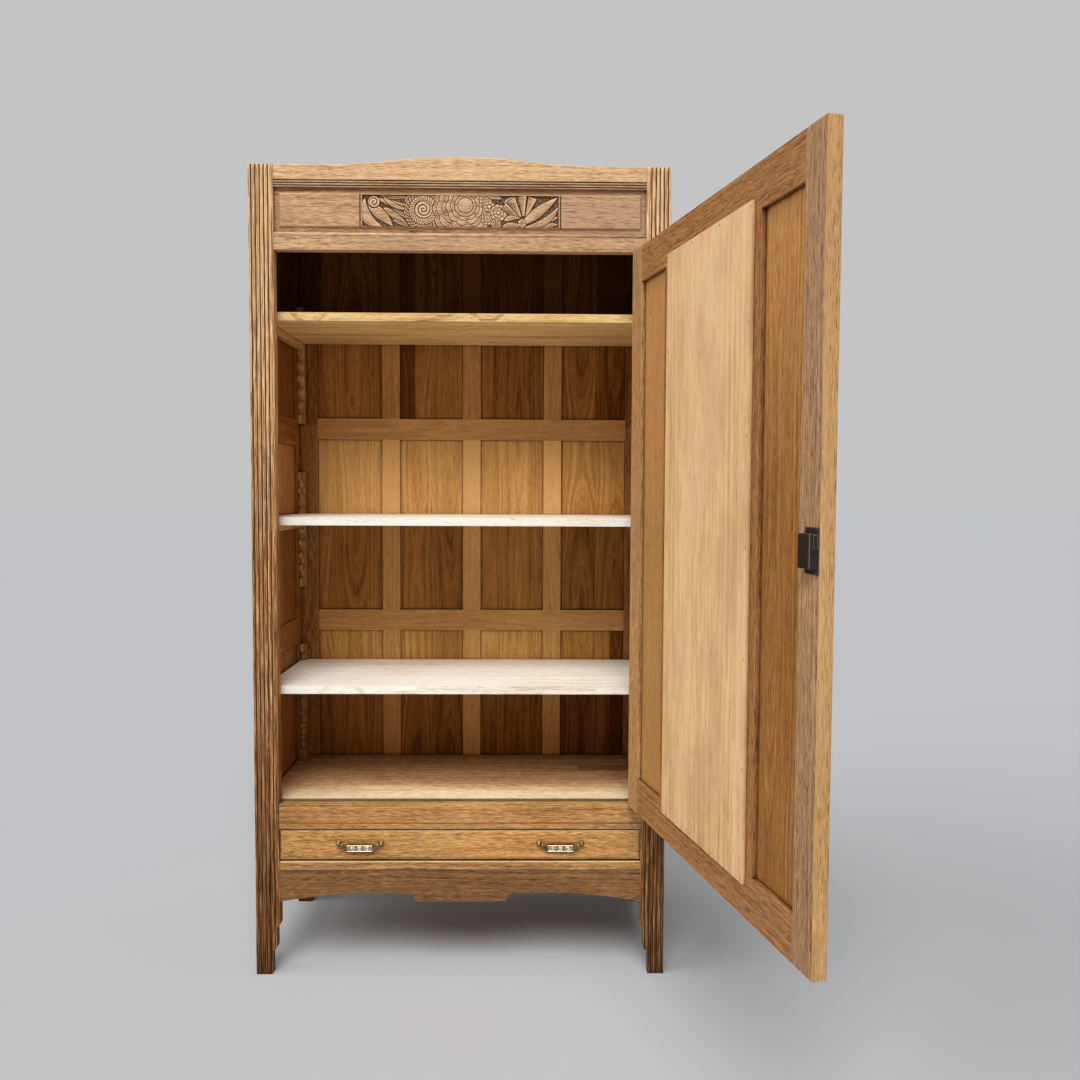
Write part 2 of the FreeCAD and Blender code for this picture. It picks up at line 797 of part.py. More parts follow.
node("top_rail", [top_rail()])
node("frieze_panel", [frieze_panel()])
node("frieze_lower_rail", [frieze_lower_rail()])
node("front_rail", [plain_rail("front_rail")])
node("upper_drawer_rail", [plain_rail("upper_drawer_rail")])
node("lower_drawer_rail", [plain_rail("lower_drawer_rail")])
node("apron", [apron()])


# ---------------------------------------------------------------- framed sides and back

class Frame:
    """Flat frame of rails and uprights round panels, in the YZ or the XZ plane.

    across is the letter of the axis that runs along the rails, "x" or "y";
    near and far are the frame's two faces, as formulas along the other axis.
    """

    def __init__(self, across, near, far):
        self.across = across
        self.near = near
        self.far = far
        self.middle = "((%s) + (%s)) / 2" % (near, far)

    def bar(self, start, end, low, high, near=None, far=None):
        """Box of the frame between two stations along it and two heights."""
        near, far = near or self.near, far or self.far
        if self.across == "x":
            return box((start, near, low), (end, far, high))
        return box((near, start, low), (far, end, high))

    def slot(self, start, end, low, high):
        """Box as thick as the groove, in the frame's middle."""
        return self.bar(start, end, low, high, self.middle + " - groove_width / 2",
                        self.middle + " + groove_width / 2")

    def rail(self, start, end, low, high, grooves):
        """Rail with stub tenons at both ends and a groove in the edges named."""
        tongue_low = "(%s) + groove_depth" % low if "low" in grooves else low
        tongue_high = "(%s) - groove_depth" % high if "high" in grooves else high
        body = self.bar(start, end, low, high)
        tongue = self.slot("(%s) - groove_depth" % start, "(%s) + groove_depth" % end,
                           tongue_low, tongue_high)
        cuts = []
        if "low" in grooves:
            cuts.append(self.slot(start, end, low, tongue_low))
        if "high" in grooves:
            cuts.append(self.slot(start, end, tongue_high, high))
        return cut(fuse([body, tongue]), cuts)

    def muntin(self, start, end, low, high):
        """Upright between two rails, grooved down both edges, tenoned top and bottom."""
        tongue_start = "(%s) + groove_depth" % start
        tongue_end = "(%s) - groove_depth" % end
        body = self.bar(start, end, low, high)
        tongue = self.slot(tongue_start, tongue_end, "(%s) - groove_depth" % low,
                           "(%s) + groove_depth" % high)
        return cut(fuse([body, tongue]), [self.slot(start, tongue_start, low, high),
                                          self.slot(tongue_end, end, low, high)])

    def panel(self, start, end, low, high, near, far):
        """Panel between its near and far faces, with a tongue all round in the grooves."""
        reach = "groove_depth - panel_play"
        tongue = self.slot("(%s) - (%s)" % (start, reach), "(%s) + (%s)" % (end, reach),
                           "(%s) - (%s)" % (low, reach), "(%s) + (%s)" % (high, reach))
        board = self.bar("(%s) + panel_play" % start, "(%s) - panel_play" % end,
                         "(%s) + panel_play" % low, "(%s) - panel_play" % high, near, far)
        return fuse([board, tongue])


def side_frame():
    """Stiles, rails and panels of the left side, outer face flush with the posts."""
    frame = Frame("y", "-half_width", "-side_inner")
    fore, aft = "post_back", "rear_post_front"
    fore_inner, aft_inner = "post_back + side_stile_width", "rear_post_front - side_stile_width"
    top = "post_height"
    top_low = "post_height - side_top_rail_height"
    fore_stile = cut(frame.bar(fore, fore_inner, "side_foot", top),
                     [frame.slot(fore_inner + " - groove_depth", fore_inner, "side_foot", top)])
    aft_stile = cut(frame.bar(aft_inner, aft, "side_foot", top),
                    [frame.slot(aft_inner, aft_inner + " + groove_depth", "side_foot", top)])
    low, high = "side_low_rail_bottom", "side_high_rail_bottom"
    bands = [
        ("side_foot", "side_base_top", ("high",)),
        (low, low + " + side_rail_height", ("low", "high")),
        (high, high + " + side_rail_height", ("low", "high")),
        (top_low, top, ("low",)),
    ]
    rails = [frame.rail(fore_inner, aft_inner, *band) for band in bands]
    spaces = [("side_base_top", low), (low + " + side_rail_height", high),
              (high + " + side_rail_height", top_low)]
    outer = frame.middle + " - side_panel_thickness / 2"
    inner = frame.middle + " + side_panel_thickness / 2"
    panels = [frame.panel(fore_inner, aft_inner, bottom, head, outer, inner)
              for bottom, head in spaces]
    return [fore_stile, aft_stile], rails, panels


for name, pieces in zip(("stiles", "rails", "panels"), side_frame()):
    node("left_side_" + name, pieces)
    node("right_side_" + name, [mirror_x(piece) for piece in pieces])


def back_frame():
    """Rails, muntins and panels between the two rear posts."""
    frame = Frame("x", "back_front", "back_rear")
    left, right = "-back_half", "back_half"
    top = "post_height"
    top_low = "post_height - back_top_rail_height"
    low, high = "back_low_rail_bottom", "back_high_rail_bottom"
    bands = [
        ("back_foot", "back_base_top", ("high",)),
        (low, low + " + back_rail_height", ("low", "high")),
        (high, high + " + back_rail_height", ("low", "high")),
        (top_low, top, ("low",)),
    ]
    rails = [frame.rail(left, right, *band) for band in bands]
    spaces = [("back_base_top", low), (low + " + back_rail_height", high),
              (high + " + back_rail_height", top_low)]
    centres = ["%d * back_muntin_pitch" % step for step in (-1, 0, 1)]
    half = "back_muntin_width / 2"
    edges = [left] + [sign for centre in centres
                      for sign in ("%s - %s" % (centre, half), "%s + %s" % (centre, half))] + [right]
    front_face = frame.middle + " - back_panel_thickness / 2"
    rear_face = frame.middle + " + back_panel_thickness / 2"
    muntins, panels = [], []
    for bottom, head in spaces:
        for column in range(len(centres) + 1):
            panels.append(frame.panel(edges[2 * column], edges[2 * column + 1], bottom, head,
                                      front_face, rear_face))
        for centre in centres:
            muntins.append(frame.muntin("%s - %s" % (centre, half), "%s + %s" % (centre, half),
                                        bottom, head))
    return rails, muntins, panels


for name, pieces in zip(("rails", "muntins", "panels"), back_frame()):
    node("back_" + name, pieces)


# ---------------------------------------------------------------- boards and bearers

def board(low, high, front_edge="post_back"):
    """Loose board across the cabinet between its sides."""
    return box(("-side_inner + board_play", front_edge, low),
               ("side_inner - board_play", "rear_post_front", high))


def bearer(top):
    """Strip along the left side that a board rests on."""
    return box(("-side_inner", "post_back", "(%s) - bearer_height" % top),
               ("-side_inner + bearer_width", "rear_post_front", top))


node("floor_board", [board("floor_under", "floor_top")])
node("top_board", [board("roof_under", "roof_top")])
bearers = [bearer("floor_under"), bearer("roof_under")]
node("board_bearers", bearers + [mirror_x(piece) for piece in bearers])


# ---------------------------------------------------------------- racks, cleats and shelves

def rack(edge, inward, base):
    """Notched strip of the left side, toothed on the edge that faces its partner.

    edge is the strip's plain edge and inward "+" or "-", the way its teeth point.
    """
    def across(distance):
        return "(%s) %s (%s)" % (edge, inward, distance)

    body = new_body("Rack")
    face = new_sketch(body, "YZ_Plane", "-side_inner")
    outline = Shape2D((across("0"), base))
    outline.line((across("rack_width"), base))
    for notch in range(NOTCHES):
        floor = "(%s) + notch_start + %d * notch_pitch" % (base, notch)
        outline.line((across("rack_width"), floor))
        outline.line((across("rack_width - notch_depth"), floor))
        outline.line((across("rack_width - notch_depth"), floor + " + cleat_height"))
        outline.line((across("rack_width"), floor + " + cleat_height + notch_slope"))
    outline.line((across("rack_width"), "(%s) + rack_length" % base))
    outline.line((across("0"), "(%s) + rack_length" % base))
    draw(face, outline)
    pad(body, face, "rack_thickness")
    return body


RACK_BASES = {"low": "floor_top", "middle": "rack_middle_base", "top": "rack_top_base"}
SHELF_NOTCHES = {"low": LOW_SHELF_NOTCH, "middle": MIDDLE_SHELF_NOTCH, "top": TOP_SHELF_NOTCH}


def cleat(level):
    """Strip of the left side between a front and a rear rack, in the notch of its shelf."""
    floor = cleat_floor(level)
    reach = "notch_depth - cleat_play"
    return box(("-side_inner", "front_rack_rear - (%s)" % reach, floor),
               ("-rack_inner", "rear_rack_front + (%s)" % reach, floor + " + cleat_height"))


def cleat_floor(level):
    """Height of the notch that carries a shelf's cleats."""
    return "(%s) + notch_start + %d * notch_pitch" % (RACK_BASES[level], SHELF_NOTCHES[level])


def shelf(level, setback):
    """Loose board on two cleats, notched at each corner to pass the racks."""
    low = cleat_floor(level) + " + cleat_height"
    high = low + " + shelf_thickness"
    half = "side_inner - shelf_play"
    front_edge, rear_edge = "front + " + setback, "rear_post_front - shelf_rear_gap"
    blank = box(("-(%s)" % half, front_edge, low), (half, rear_edge, high))
    reach = "rack_inner - shelf_notch_play"
    notches = []
    for start, end in (("-(%s)" % half, "-(%s)" % reach), (reach, half)):
        notches.append(box((start, front_edge, low), (end, "front_rack_rear + shelf_notch_play", high)))
        notches.append(box((start, "rear_rack_front - shelf_notch_play", low), (end, rear_edge, high)))
    return cut(blank, notches)


racks = []
for base in RACK_BASES.values():
    racks.append(rack("post_back", "+", base))
    racks.append(rack("rear_post_front", "-", base))
cleats = [cleat(level) for level in RACK_BASES]
node("left_racks", racks)
node("right_racks", [mirror_x(piece) for piece in racks])
node("shelf_cleats", cleats + [mirror_x(piece) for piece in cleats])
node("shelf_bottom", [shelf("low", "shelf_setback")])
node("shelf_middle", [shelf("middle", "shelf_lock_setback")])
node("shelf_top", [shelf("top", "shelf_setback")])


# ---------------------------------------------------------------- door frame, closed

def door_slot(start, end, low, high):
    """Box as thick as the panel groove of the door."""
    return box((start, "groove_front", low), (end, "groove_back", high))


def door_bar(start, end, low, high):
    """Box as thick as the door."""
    return box((start, "front", low), (end, "door_inner", high))


def door_rebate(start, end, low, high):
    """Box of the rebate behind the mirror's opening."""
    return box((start, "door_inner - rebate_depth", low), (end, "door_inner", high))


def rebate_all_round():
    """The whole mirror rebate, from edge to edge of its opening and beyond by its width."""
    return door_rebate("lock_muntin_inner - rebate_width", "hinge_muntin_inner + rebate_width",
                       "door_rail_low - rebate_width", "door_rail_high + rebate_width")


def door_rail(low, high, groove_low, groove_high):
    """Door rail with stub tenons in the stiles and a groove for panels and muntins."""
    body = door_bar("lock_stile_edge", "hinge_stile_edge", low, high)
    grooved = (groove_low, groove_high)
    tongue_low = low if grooved[0] != low else grooved[1]
    tongue_high = high if grooved[1] != high else grooved[0]
    tongue = door_slot("lock_stile_edge - groove_depth", "hinge_stile_edge + groove_depth",
                       tongue_low, tongue_high)
    grooves = [door_slot("lock_stile_edge", "lock_muntin_inner", *grooved),
               door_slot("hinge_muntin_inner", "hinge_stile_edge", *grooved)]
    return cut(fuse([body, tongue]), grooves + [rebate_all_round()])


def door_muntin(panel_edge, mirror_edge, panel_side):
    """Upright of the door, grooved towards its side panel and rebated for the mirror."""
    tongue_edge = "%s %s groove_depth" % (panel_edge, panel_side)
    stations = [panel_edge, mirror_edge] if panel_side == "+" else [mirror_edge, panel_edge]
    body = door_bar(stations[0], stations[1], "door_rail_low", "door_rail_high")
    tongue_ends = [tongue_edge, mirror_edge] if panel_side == "+" else [mirror_edge, tongue_edge]
    tongue = door_slot(tongue_ends[0], tongue_ends[1], "door_rail_low - groove_depth",
                       "door_rail_high + groove_depth")
    groove_ends = [panel_edge, tongue_edge] if panel_side == "+" else [tongue_edge, panel_edge]
    groove = door_slot(groove_ends[0], groove_ends[1], "door_rail_low", "door_rail_high")
    return cut(fuse([body, tongue]), [groove, rebate_all_round()])


def door_panel(start, end):
    """Side panel of the door: raised field in front, flat behind, tongue in the grooves."""
    reach = "groove_depth - panel_play"
    low, high = "door_rail_low", "door_rail_high"
    tongue = door_slot("%s - (%s)" % (start, reach), "%s + (%s)" % (end, reach),
                       "%s - (%s)" % (low, reach), "%s + (%s)" % (high, reach))
    face = "front + door_panel_inset + door_field_rise"
    sheet = box((start + " + panel_play", face, low + " + panel_play"),
                (end + " - panel_play", "front + door_panel_inset + door_panel_thickness",
                 high + " - panel_play"))
    field = tapered(
        (start + " + panel_play", "front + door_panel_inset", low + " + panel_play"),
        (end + " - panel_play", face, high + " - panel_play"),
        "door_field_bevel", "door_field_bevel", "front")
    return fuse([sheet, field, tongue])


def keyhole():
    """Round hole with a slot below it, right through the lock stile and lock plate."""
    stem = cylinder(("lock_x", "front", "keyhole_z"), "y", "keyhole_radius", "lock_plate_rear - front")
    bit = box(("lock_x - keyhole_slot_width / 2", "front", "keyhole_z - keyhole_slot_length"),
              ("lock_x + keyhole_slot_width / 2", "lock_plate_rear", "keyhole_z"))
    return [stem, bit]


def lock_screw_places():
    """Centres of the four lock screws as pairs of formulas, X and Z."""
    across = ("lock_x - lock_plate_width / 2 + screw_inset",
              "lock_x + lock_plate_width / 2 - screw_inset")
    up = ("lock_centre_height - lock_plate_height / 2 + screw_margin",
          "lock_centre_height + lock_plate_height / 2 - screw_margin")
    return [(x_place, z_place) for x_place in across for z_place in up]


def lock_screw_shanks():
    """Eight-sided shanks of the screws, from the lock plate into the stile."""
    return [octagon((x_place, "lock_plate_rear - screw_length", z_place), "y", "screw_radius",
                    "screw_length") for x_place, z_place in lock_screw_places()]


def nail_places():
    """Centres of the nails along the edges of the backing board, X and Z."""
    left = "lock_muntin_inner - board_overlap + nail_inset"
    right = "hinge_muntin_inner + board_overlap - nail_inset"
    low = "door_rail_low - board_overlap + nail_inset"
    high = "door_rail_high + board_overlap - nail_inset"
    places = []
    for step in range(NAILS_UP):
        up = "%s + (%s - (%s)) * %d / %d" % (low, high, low, step, NAILS_UP - 1)
        places += [(left, up), (right, up)]
    for step in range(1, NAILS_ACROSS - 1):
        across = "%s + (%s - (%s)) * %d / %d" % (left, right, left, step, NAILS_ACROSS - 1)
        places += [(across, low), (across, high)]
    return places


def around(centre, width):
    """The two ends of a width that lies evenly about a centre."""
    return "%s - %s / 2" % (centre, width), "%s + %s / 2" % (centre, width)


def nail_shanks():
    """Square shanks of the cut nails, from the board's inner face into the frame."""
    shanks = []
    for x_place, z_place in nail_places():
        left, right = around(x_place, "nail_thickness")
        low, high = around(z_place, "nail_thickness")
        shanks.append(box((left, "board_rear - nail_length", low), (right, "board_rear", high)))
    return shanks


def nail_heads():
    """Low pyramid heads of the cut nails, on the board's inner face."""
    heads = []
    for x_place, z_place in nail_places():
        left, right = around(x_place, "nail_head_width")
        low, high = around(z_place, "nail_head_width")
        heads.append(tapered((left, "board_rear", low), (right, "board_rear + nail_head_height", high),
                             "nail_head_bevel", "nail_head_bevel", "rear"))
    return heads


def turned_open(part):
    """Turn a sub-part of the closed door about the hinge axis to where the door stands."""
    axis = FreeCAD.Vector(value("hinge_x"), value("hinge_y"), 0)
    turn = FreeCAD.Rotation(FreeCAD.Vector(0, 0, 1), value("door_open_angle"))
    part.Placement = FreeCAD.Placement(FreeCAD.Vector(), turn, axis)
    return part


shanks = nail_shanks()
lock_shanks = lock_screw_shanks()
hinge_stile = cut(door_bar("hinge_stile_edge", "door_hinge_edge", "door_low", "door_high"),
                  [door_slot("hinge_stile_edge", "hinge_stile_edge + groove_depth", "door_low",
                             "door_high")])
lock_stile = cut(door_bar("door_lock_edge", "lock_stile_edge", "door_low", "door_high"),
                 [door_slot("lock_stile_edge - groove_depth", "lock_stile_edge", "door_low",
                            "door_high")] + keyhole() + lock_shanks)
bottom_rail = door_rail("door_low", "door_rail_low", "door_rail_low - groove_depth", "door_rail_low")
head_rail = door_rail("door_rail_high", "door_high", "door_rail_high",
                      "door_rail_high + groove_depth")
muntins = [door_muntin("hinge_muntin_outer", "hinge_muntin_inner", "-"),
           door_muntin("lock_muntin_outer", "lock_muntin_inner", "+")]
mirror_reach = "rebate_width - mirror_play"
seated = "mirror_bevel_depth * (mirror_bevel - (%s)) / mirror_bevel" % mirror_reach
mirror_face = "door_inner - rebate_depth - " + seated
mirror_sheet = box(
    ("lock_muntin_inner - (%s)" % mirror_reach, mirror_face + " + mirror_bevel_depth",
     "door_rail_low - (%s)" % mirror_reach),
    ("hinge_muntin_inner + (%s)" % mirror_reach, mirror_face + " + mirror_thickness",
     "door_rail_high + (%s)" % mirror_reach))
mirror_rim = tapered(
    ("lock_muntin_inner - (%s)" % mirror_reach, mirror_face,
     "door_rail_low - (%s)" % mirror_reach),
    ("hinge_muntin_inner + (%s)" % mirror_reach, mirror_face + " + mirror_bevel_depth",
     "door_rail_high + (%s)" % mirror_reach), "mirror_bevel", "mirror_bevel", "front")
backing = box(("lock_muntin_inner - board_overlap", "door_inner", "door_rail_low - board_overlap"),
              ("hinge_muntin_inner + board_overlap", "board_rear", "door_rail_high + board_overlap"))
nails = [fuse([shank, head]) for shank, head in zip(nail_shanks(), nail_heads())]

door_nodes = {
    "door_hinge_stile": [hinge_stile],
    "door_lock_stile": [lock_stile],
    "door_rails": [cut(bottom_rail, shanks), cut(head_rail, nail_shanks())],
    "door_muntins": [cut(piece, nail_shanks()) for piece in muntins],
    "door_panels": [door_panel("hinge_muntin_outer", "hinge_stile_edge"),
                    door_panel("lock_stile_edge", "lock_muntin_outer")],
    "door_mirror": [fuse([mirror_sheet, mirror_rim])],
    "door_back_board": [cut(backing, nail_shanks())],
    "board_nails": nails,
}


# ---------------------------------------------------------------- lock and bolt

def lock_case():
    """Box of the lock, open towards its plate, with a bolt mouth and the key's pin."""
    low = ("lock_case_outer", "lock_plate_rear", "lock_case_low")
    high = ("lock_case_inner", "lock_case_rear", "lock_case_high")
    shell = DOCUMENT.addObject("Part::Fillet", "LockShell")
    blank = box(low, high)
    DOCUMENT.recompute()
    rear = value("lock_case_rear")
    edges = []
    for number, edge in enumerate(blank.Shape.Edges, start=1):
        middle = edge.CenterOfMass
        along_z = abs(edge.Vertexes[0].Z - edge.Vertexes[-1].Z) > 1e-6
        if along_z and abs(middle.y - rear) < 1e-6:
            edges.append((number, value("lock_corner"), value("lock_corner")))
    shell.Base = blank
    shell.Edges = edges
    hollow = box(("lock_case_outer + lock_wall", "lock_plate_rear", "lock_case_low + lock_wall"),
                 ("lock_case_inner - lock_wall", "lock_case_rear - lock_wall",
                  "lock_case_high - lock_wall"))
    mouth = box(("lock_case_outer", "bolt_front - bolt_play", "bolt_low - bolt_play"),
                ("lock_case_outer + lock_wall", "bolt_rear + bolt_play", "bolt_high + bolt_play"))
    pin = cylinder(("lock_x", "lock_case_rear - lock_wall - key_pin_length", "keyhole_z"), "y",
                   "key_pin_radius", "key_pin_length + lock_wall / 2")
    return fuse([cut(shell, [hollow, mouth]), pin])


def lock_plate():
    """Flat plate between the lock case and the stile."""
    sheet = box(("lock_plate_outer", "door_inner", "lock_centre_height - lock_plate_height / 2"),
                ("lock_plate_outer + lock_plate_width", "lock_plate_rear",
                 "lock_centre_height + lock_plate_height / 2"))
    return cut(sheet, keyhole() + lock_screw_shanks())


def lock_screws():
    """Four screws with low heads through the lock plate."""
    screws = []
    for (x_place, z_place), shank in zip(lock_screw_places(), lock_screw_shanks()):
        head = octagon((x_place, "lock_plate_rear", z_place), "y", "screw_head_radius",
                       "screw_head_height")
        screws.append(fuse([shank, head]))
    return screws


def bolt():
    """Sliding bolt, its head flush with the case while it is withdrawn."""
    return box(("lock_case_outer", "bolt_front", "bolt_low"),
               ("lock_case_outer + bolt_length", "bolt_rear", "bolt_high"))


door_nodes["lock_case"] = [lock_case()]
door_nodes["lock_plate"] = [lock_plate()]
door_nodes["lock_screws"] = lock_screws()
door_nodes["lock_bolt"] = [bolt()]


def strike_plate():
    """Keep on the back of the left post, which the thrown bolt passes behind."""
    return box(("-opening_half - strike_width", "post_back", "bolt_low + bolt_height / 2 - strike_height / 2"),
               ("-opening_half", "post_back + strike_thickness",
                "bolt_low + bolt_height / 2 + strike_height / 2"))


node("strike_plate", [strike_plate()])


# ---------------------------------------------------------------- barrel hinges

def hinge_height(index):
    """Joint height between the two barrels of one hinge."""
    return "hinge_low + %d * hinge_spacing" % index


def post_half(index):
    """Lower barrel with the leaf that is fixed to the post."""
    seam = hinge_height(index)
    barrel = cylinder(("hinge_x", "hinge_y", seam + " - barrel_length"), "z", "barrel_radius",
                      "barrel_length")
    leaf = box(("opening_half - hinge_leaf_thickness", "hinge_y", seam + " - barrel_length"),
               ("opening_half", "front + hinge_leaf_reach", seam))
    bore = cylinder(("hinge_x", "hinge_y", seam + " - hinge_pin_depth"), "z",
                    "hinge_pin_radius", "hinge_pin_depth")
    return cut(fuse([barrel, leaf]), [bore])


def hinge_pin(index):
    """Pin fixed in the lower barrel, round which the upper one turns."""
    return cylinder(("hinge_x", "hinge_y", hinge_height(index) + " - hinge_pin_depth"), "z",
                    "hinge_pin_radius", "2 * hinge_pin_depth")


def door_half(index):
    """Upper barrel, which rides on the lower one, with the leaf that is fixed to the door's edge."""
    seam = hinge_height(index)
    barrel = cylinder(("hinge_x", "hinge_y", seam), "z", "barrel_radius", "barrel_length")
    leaf = box(("door_hinge_edge", "hinge_y", seam),
               ("door_hinge_edge + hinge_leaf_thickness", "front + hinge_leaf_reach",
                seam + " + barrel_length"))
    bore = cylinder(("hinge_x", "hinge_y", seam), "z", "hinge_pin_radius + hinge_play",
                    "hinge_pin_depth + hinge_play")
    return cut(fuse([barrel, leaf]), [bore])


node("hinge_post_halves", [post_half(index) for index in range(HINGES)])
node("hinge_pins", [hinge_pin(index) for index in range(HINGES)])
door_nodes["hinge_door_halves"] = [door_half(index) for index in range(HINGES)]

for label, solids in door_nodes.items():
    turned_open(node(label, solids))


# ---------------------------------------------------------------- drawer

def drawer_tails():
    """Dovetails at the front of the left drawer side, wider at their ends in the front board."""
    tails = []
    for tail in range(DRAWER_TAILS):
        low = "drawer_low + tail_start + %d * tail_pitch" % tail
        tails.append(tapered(("-drawer_box_half", "rail_front + drawer_lap", low),
                             ("-drawer_box_half + drawer_side_thickness", "drawer_front_rear",
                              low + " + tail_height"), "0", "tail_flare", "rear"))
    return tails


def drawer_side():
    """Left side of the drawer box, dovetailed to the front and grooved for the bottom."""
    sheet = box(("-drawer_box_half", "drawer_front_rear", "drawer_low"),
                ("-drawer_box_half + drawer_side_thickness", "drawer_rear",
                 "drawer_low + drawer_side_height"))
    return cut(fuse([sheet] + drawer_tails()), [drawer_bottom()])


def drawer_bottom():
    """Thin board that slides into the grooves of the front and the sides."""
    half = "drawer_box_half - drawer_side_thickness + drawer_groove"
    return box(("-(%s)" % half, "drawer_front_rear - drawer_groove", "drawer_bottom_z"),
               (half, "drawer_rear", "drawer_bottom_z + drawer_bottom_thickness"))


def drawer_front():
    """Front board with bevelled edges, cut for the dovetails and grooved for the bottom."""
    low = ("-drawer_half", "rail_front", "drawer_low")
    face = "rail_front + drawer_bevel_depth"
    field = tapered(low, ("drawer_half", face, "drawer_high"), "drawer_front_bevel",
                    "drawer_front_bevel", "front")
    slab = box(("-drawer_half", face, "drawer_low"), ("drawer_half", "drawer_front_rear", "drawer_high"))
    sockets = drawer_tails() + [mirror_x(tail) for tail in drawer_tails()]
    return cut(fuse([field, slab]), [drawer_bottom()] + sockets)


left_drawer_side = drawer_side()
node("drawer_front", [drawer_front()])
node("drawer_sides", [left_drawer_side, mirror_x(left_drawer_side)])
node("drawer_back", [box(
    ("-drawer_box_half + drawer_side_thickness", "drawer_rear - drawer_side_thickness",
     "drawer_bottom_z + drawer_bottom_thickness"),
    ("drawer_box_half - drawer_side_thickness", "drawer_rear", "drawer_low + drawer_side_height"))])
node("drawer_bottom", [drawer_bottom()])


def runner():
    """Left runner: a ledge under the drawer side and a guide beside it, in one piece."""
    ledge = box(("-side_inner", "post_back", "drawer_low - runner_play - runner_height"),
                ("-drawer_box_half + drawer_side_thickness", "rear_post_front",
                 "drawer_low - runner_play"))
    guide = box(("-side_inner", "post_back", "drawer_low - runner_play"),
                ("-drawer_box_half - runner_play", "rear_post_front",
                 "drawer_low + drawer_side_height / 2"))
    return fuse([ledge, guide])


def kicker():
    """Left strip above the drawer side that keeps the open drawer from tipping."""
    low = "drawer_low + drawer_side_height + kicker_play"
    return box(("-side_inner", "post_back", low),
               ("-drawer_box_half + drawer_side_thickness", "rear_post_front", low + " + kicker_height"))


left_runner, left_kicker = runner(), kicker()
node("drawer_runners", [left_runner, mirror_x(left_runner)])
node("drawer_kickers", [left_kicker, mirror_x(left_kicker)])


# ---------------------------------------------------------------- drop handles

def knob(centre, side):
    """Turned post of a handle, with a blind cross hole for the bail's pin."""
    x_place = "%s %s (handle_half_width - knob_radius)" % (centre, side)
    rose = cone((x_place, "rail_front - rose_height", "handle_height"), "y", "rose_radius - rose_bevel",
                "rose_radius", "rose_height")
    neck = octagon((x_place, "bail_y", "handle_height"), "y", "knob_neck_radius",
                   "rail_front - rose_height - (bail_y)")
    head = cylinder((x_place, "bail_y - knob_radius + knob_crown", "handle_height"), "y",
                    "knob_radius", "2 * knob_radius - knob_crown")
    crown = cone((x_place, "bail_y - knob_radius", "handle_height"), "y", "knob_radius - knob_crown",
                 "knob_radius", "knob_crown")
    inner = "%s %s knob_inner" % (centre, side)
    depth = "bail_pin_bite + bail_pin_play"
    start = "%s - (%s)" % (inner, depth) if side == "-" else inner
    hole = cylinder((start, "bail_y", "handle_height"), "x", "bail_pin_radius + bail_pin_play",
                    depth)
    return cut(fuse([rose, neck, head, crown]), [hole])


def bail(centre):
    """Swinging part of a handle: a flat plate of a broad grip and two slanting arms, on two pins."""
    body = new_body("Bail")
    face = new_sketch(body, "XZ_Plane", "-(bail_y) + bail_thickness / 2")
    low, high = "handle_height - bail_drop", "handle_height - bail_drop + grip_height"
    left, right = centre + " - grip_half_width", centre + " + grip_half_width"
    reach = "(knob_inner - bail_gap)"
    arm_low, arm_high = "handle_height - bail_arm / 2", "handle_height + bail_arm / 2"
    outline = Shape2D((left, low))
    outline.line((right, low))
    outline.line((centre + " + " + reach, arm_low))
    outline.line((centre + " + " + reach, arm_high))
    outline.line((right, low + " + bail_arm"))
    outline.line((right, high + " - grip_corner"))
    outline.arc((right + " - grip_corner", high), "grip_corner", "right")
    outline.line((left + " + grip_corner", high))
    outline.arc((left, high + " - grip_corner"), "grip_corner", "right")
    outline.line((left, low + " + bail_arm"))
    outline.line((centre + " - " + reach, arm_high))
    outline.line((centre + " - " + reach, arm_low))
    draw(face, outline)
    pad(body, face, "bail_thickness", backwards=True)
    pins = [octagon((start, "bail_y", "handle_height"), "x", "bail_pin_radius",
                    "bail_pin_bite + bail_gap")
            for start in (centre + " - knob_inner - bail_pin_bite", centre + " + " + reach)]
    return fuse([body] + pins)


for label, centre in (("left", "-handle_offset"), ("right", "handle_offset")):
    node(label + "_handle_bail", [bail(centre)])
node("handle_knobs", [knob(centre, side) for centre in ("-handle_offset", "handle_offset")
                      for side in "-+"])


# ---------------------------------------------------------------- build and write

def check(document):
    """Stop if any object failed or any node is not valid solids."""
    for item in document.Objects:
        if "Invalid" in item.State or "Error" in item.State:
            raise RuntimeError("%s (%s) failed: %s" % (item.Name, item.Label, item.State))
    for part in NODES:
        if part.Shape.isNull() or not part.Shape.isValid() or not part.Shape.Solids:
            raise RuntimeError("%s has no valid solid" % part.Label)


DOCUMENT.recompute()
check(DOCUMENT)
os.makedirs("parts", exist_ok=True)
for part in NODES:
    part.Shape.exportStep(os.path.join("parts", part.Label + ".step"))
print("%d sub-parts, %d solids" % (len(NODES), sum(len(part.Shape.Solids) for part in NODES)))
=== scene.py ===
"""Finishes, carving and metalwork of a bonnetiere cabinet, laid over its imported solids."""

import logging
import math
from dataclasses import dataclass, replace
from enum import Enum
from typing import ClassVar, Optional

import bpy
import numpy as np
from mathutils import Matrix, Vector


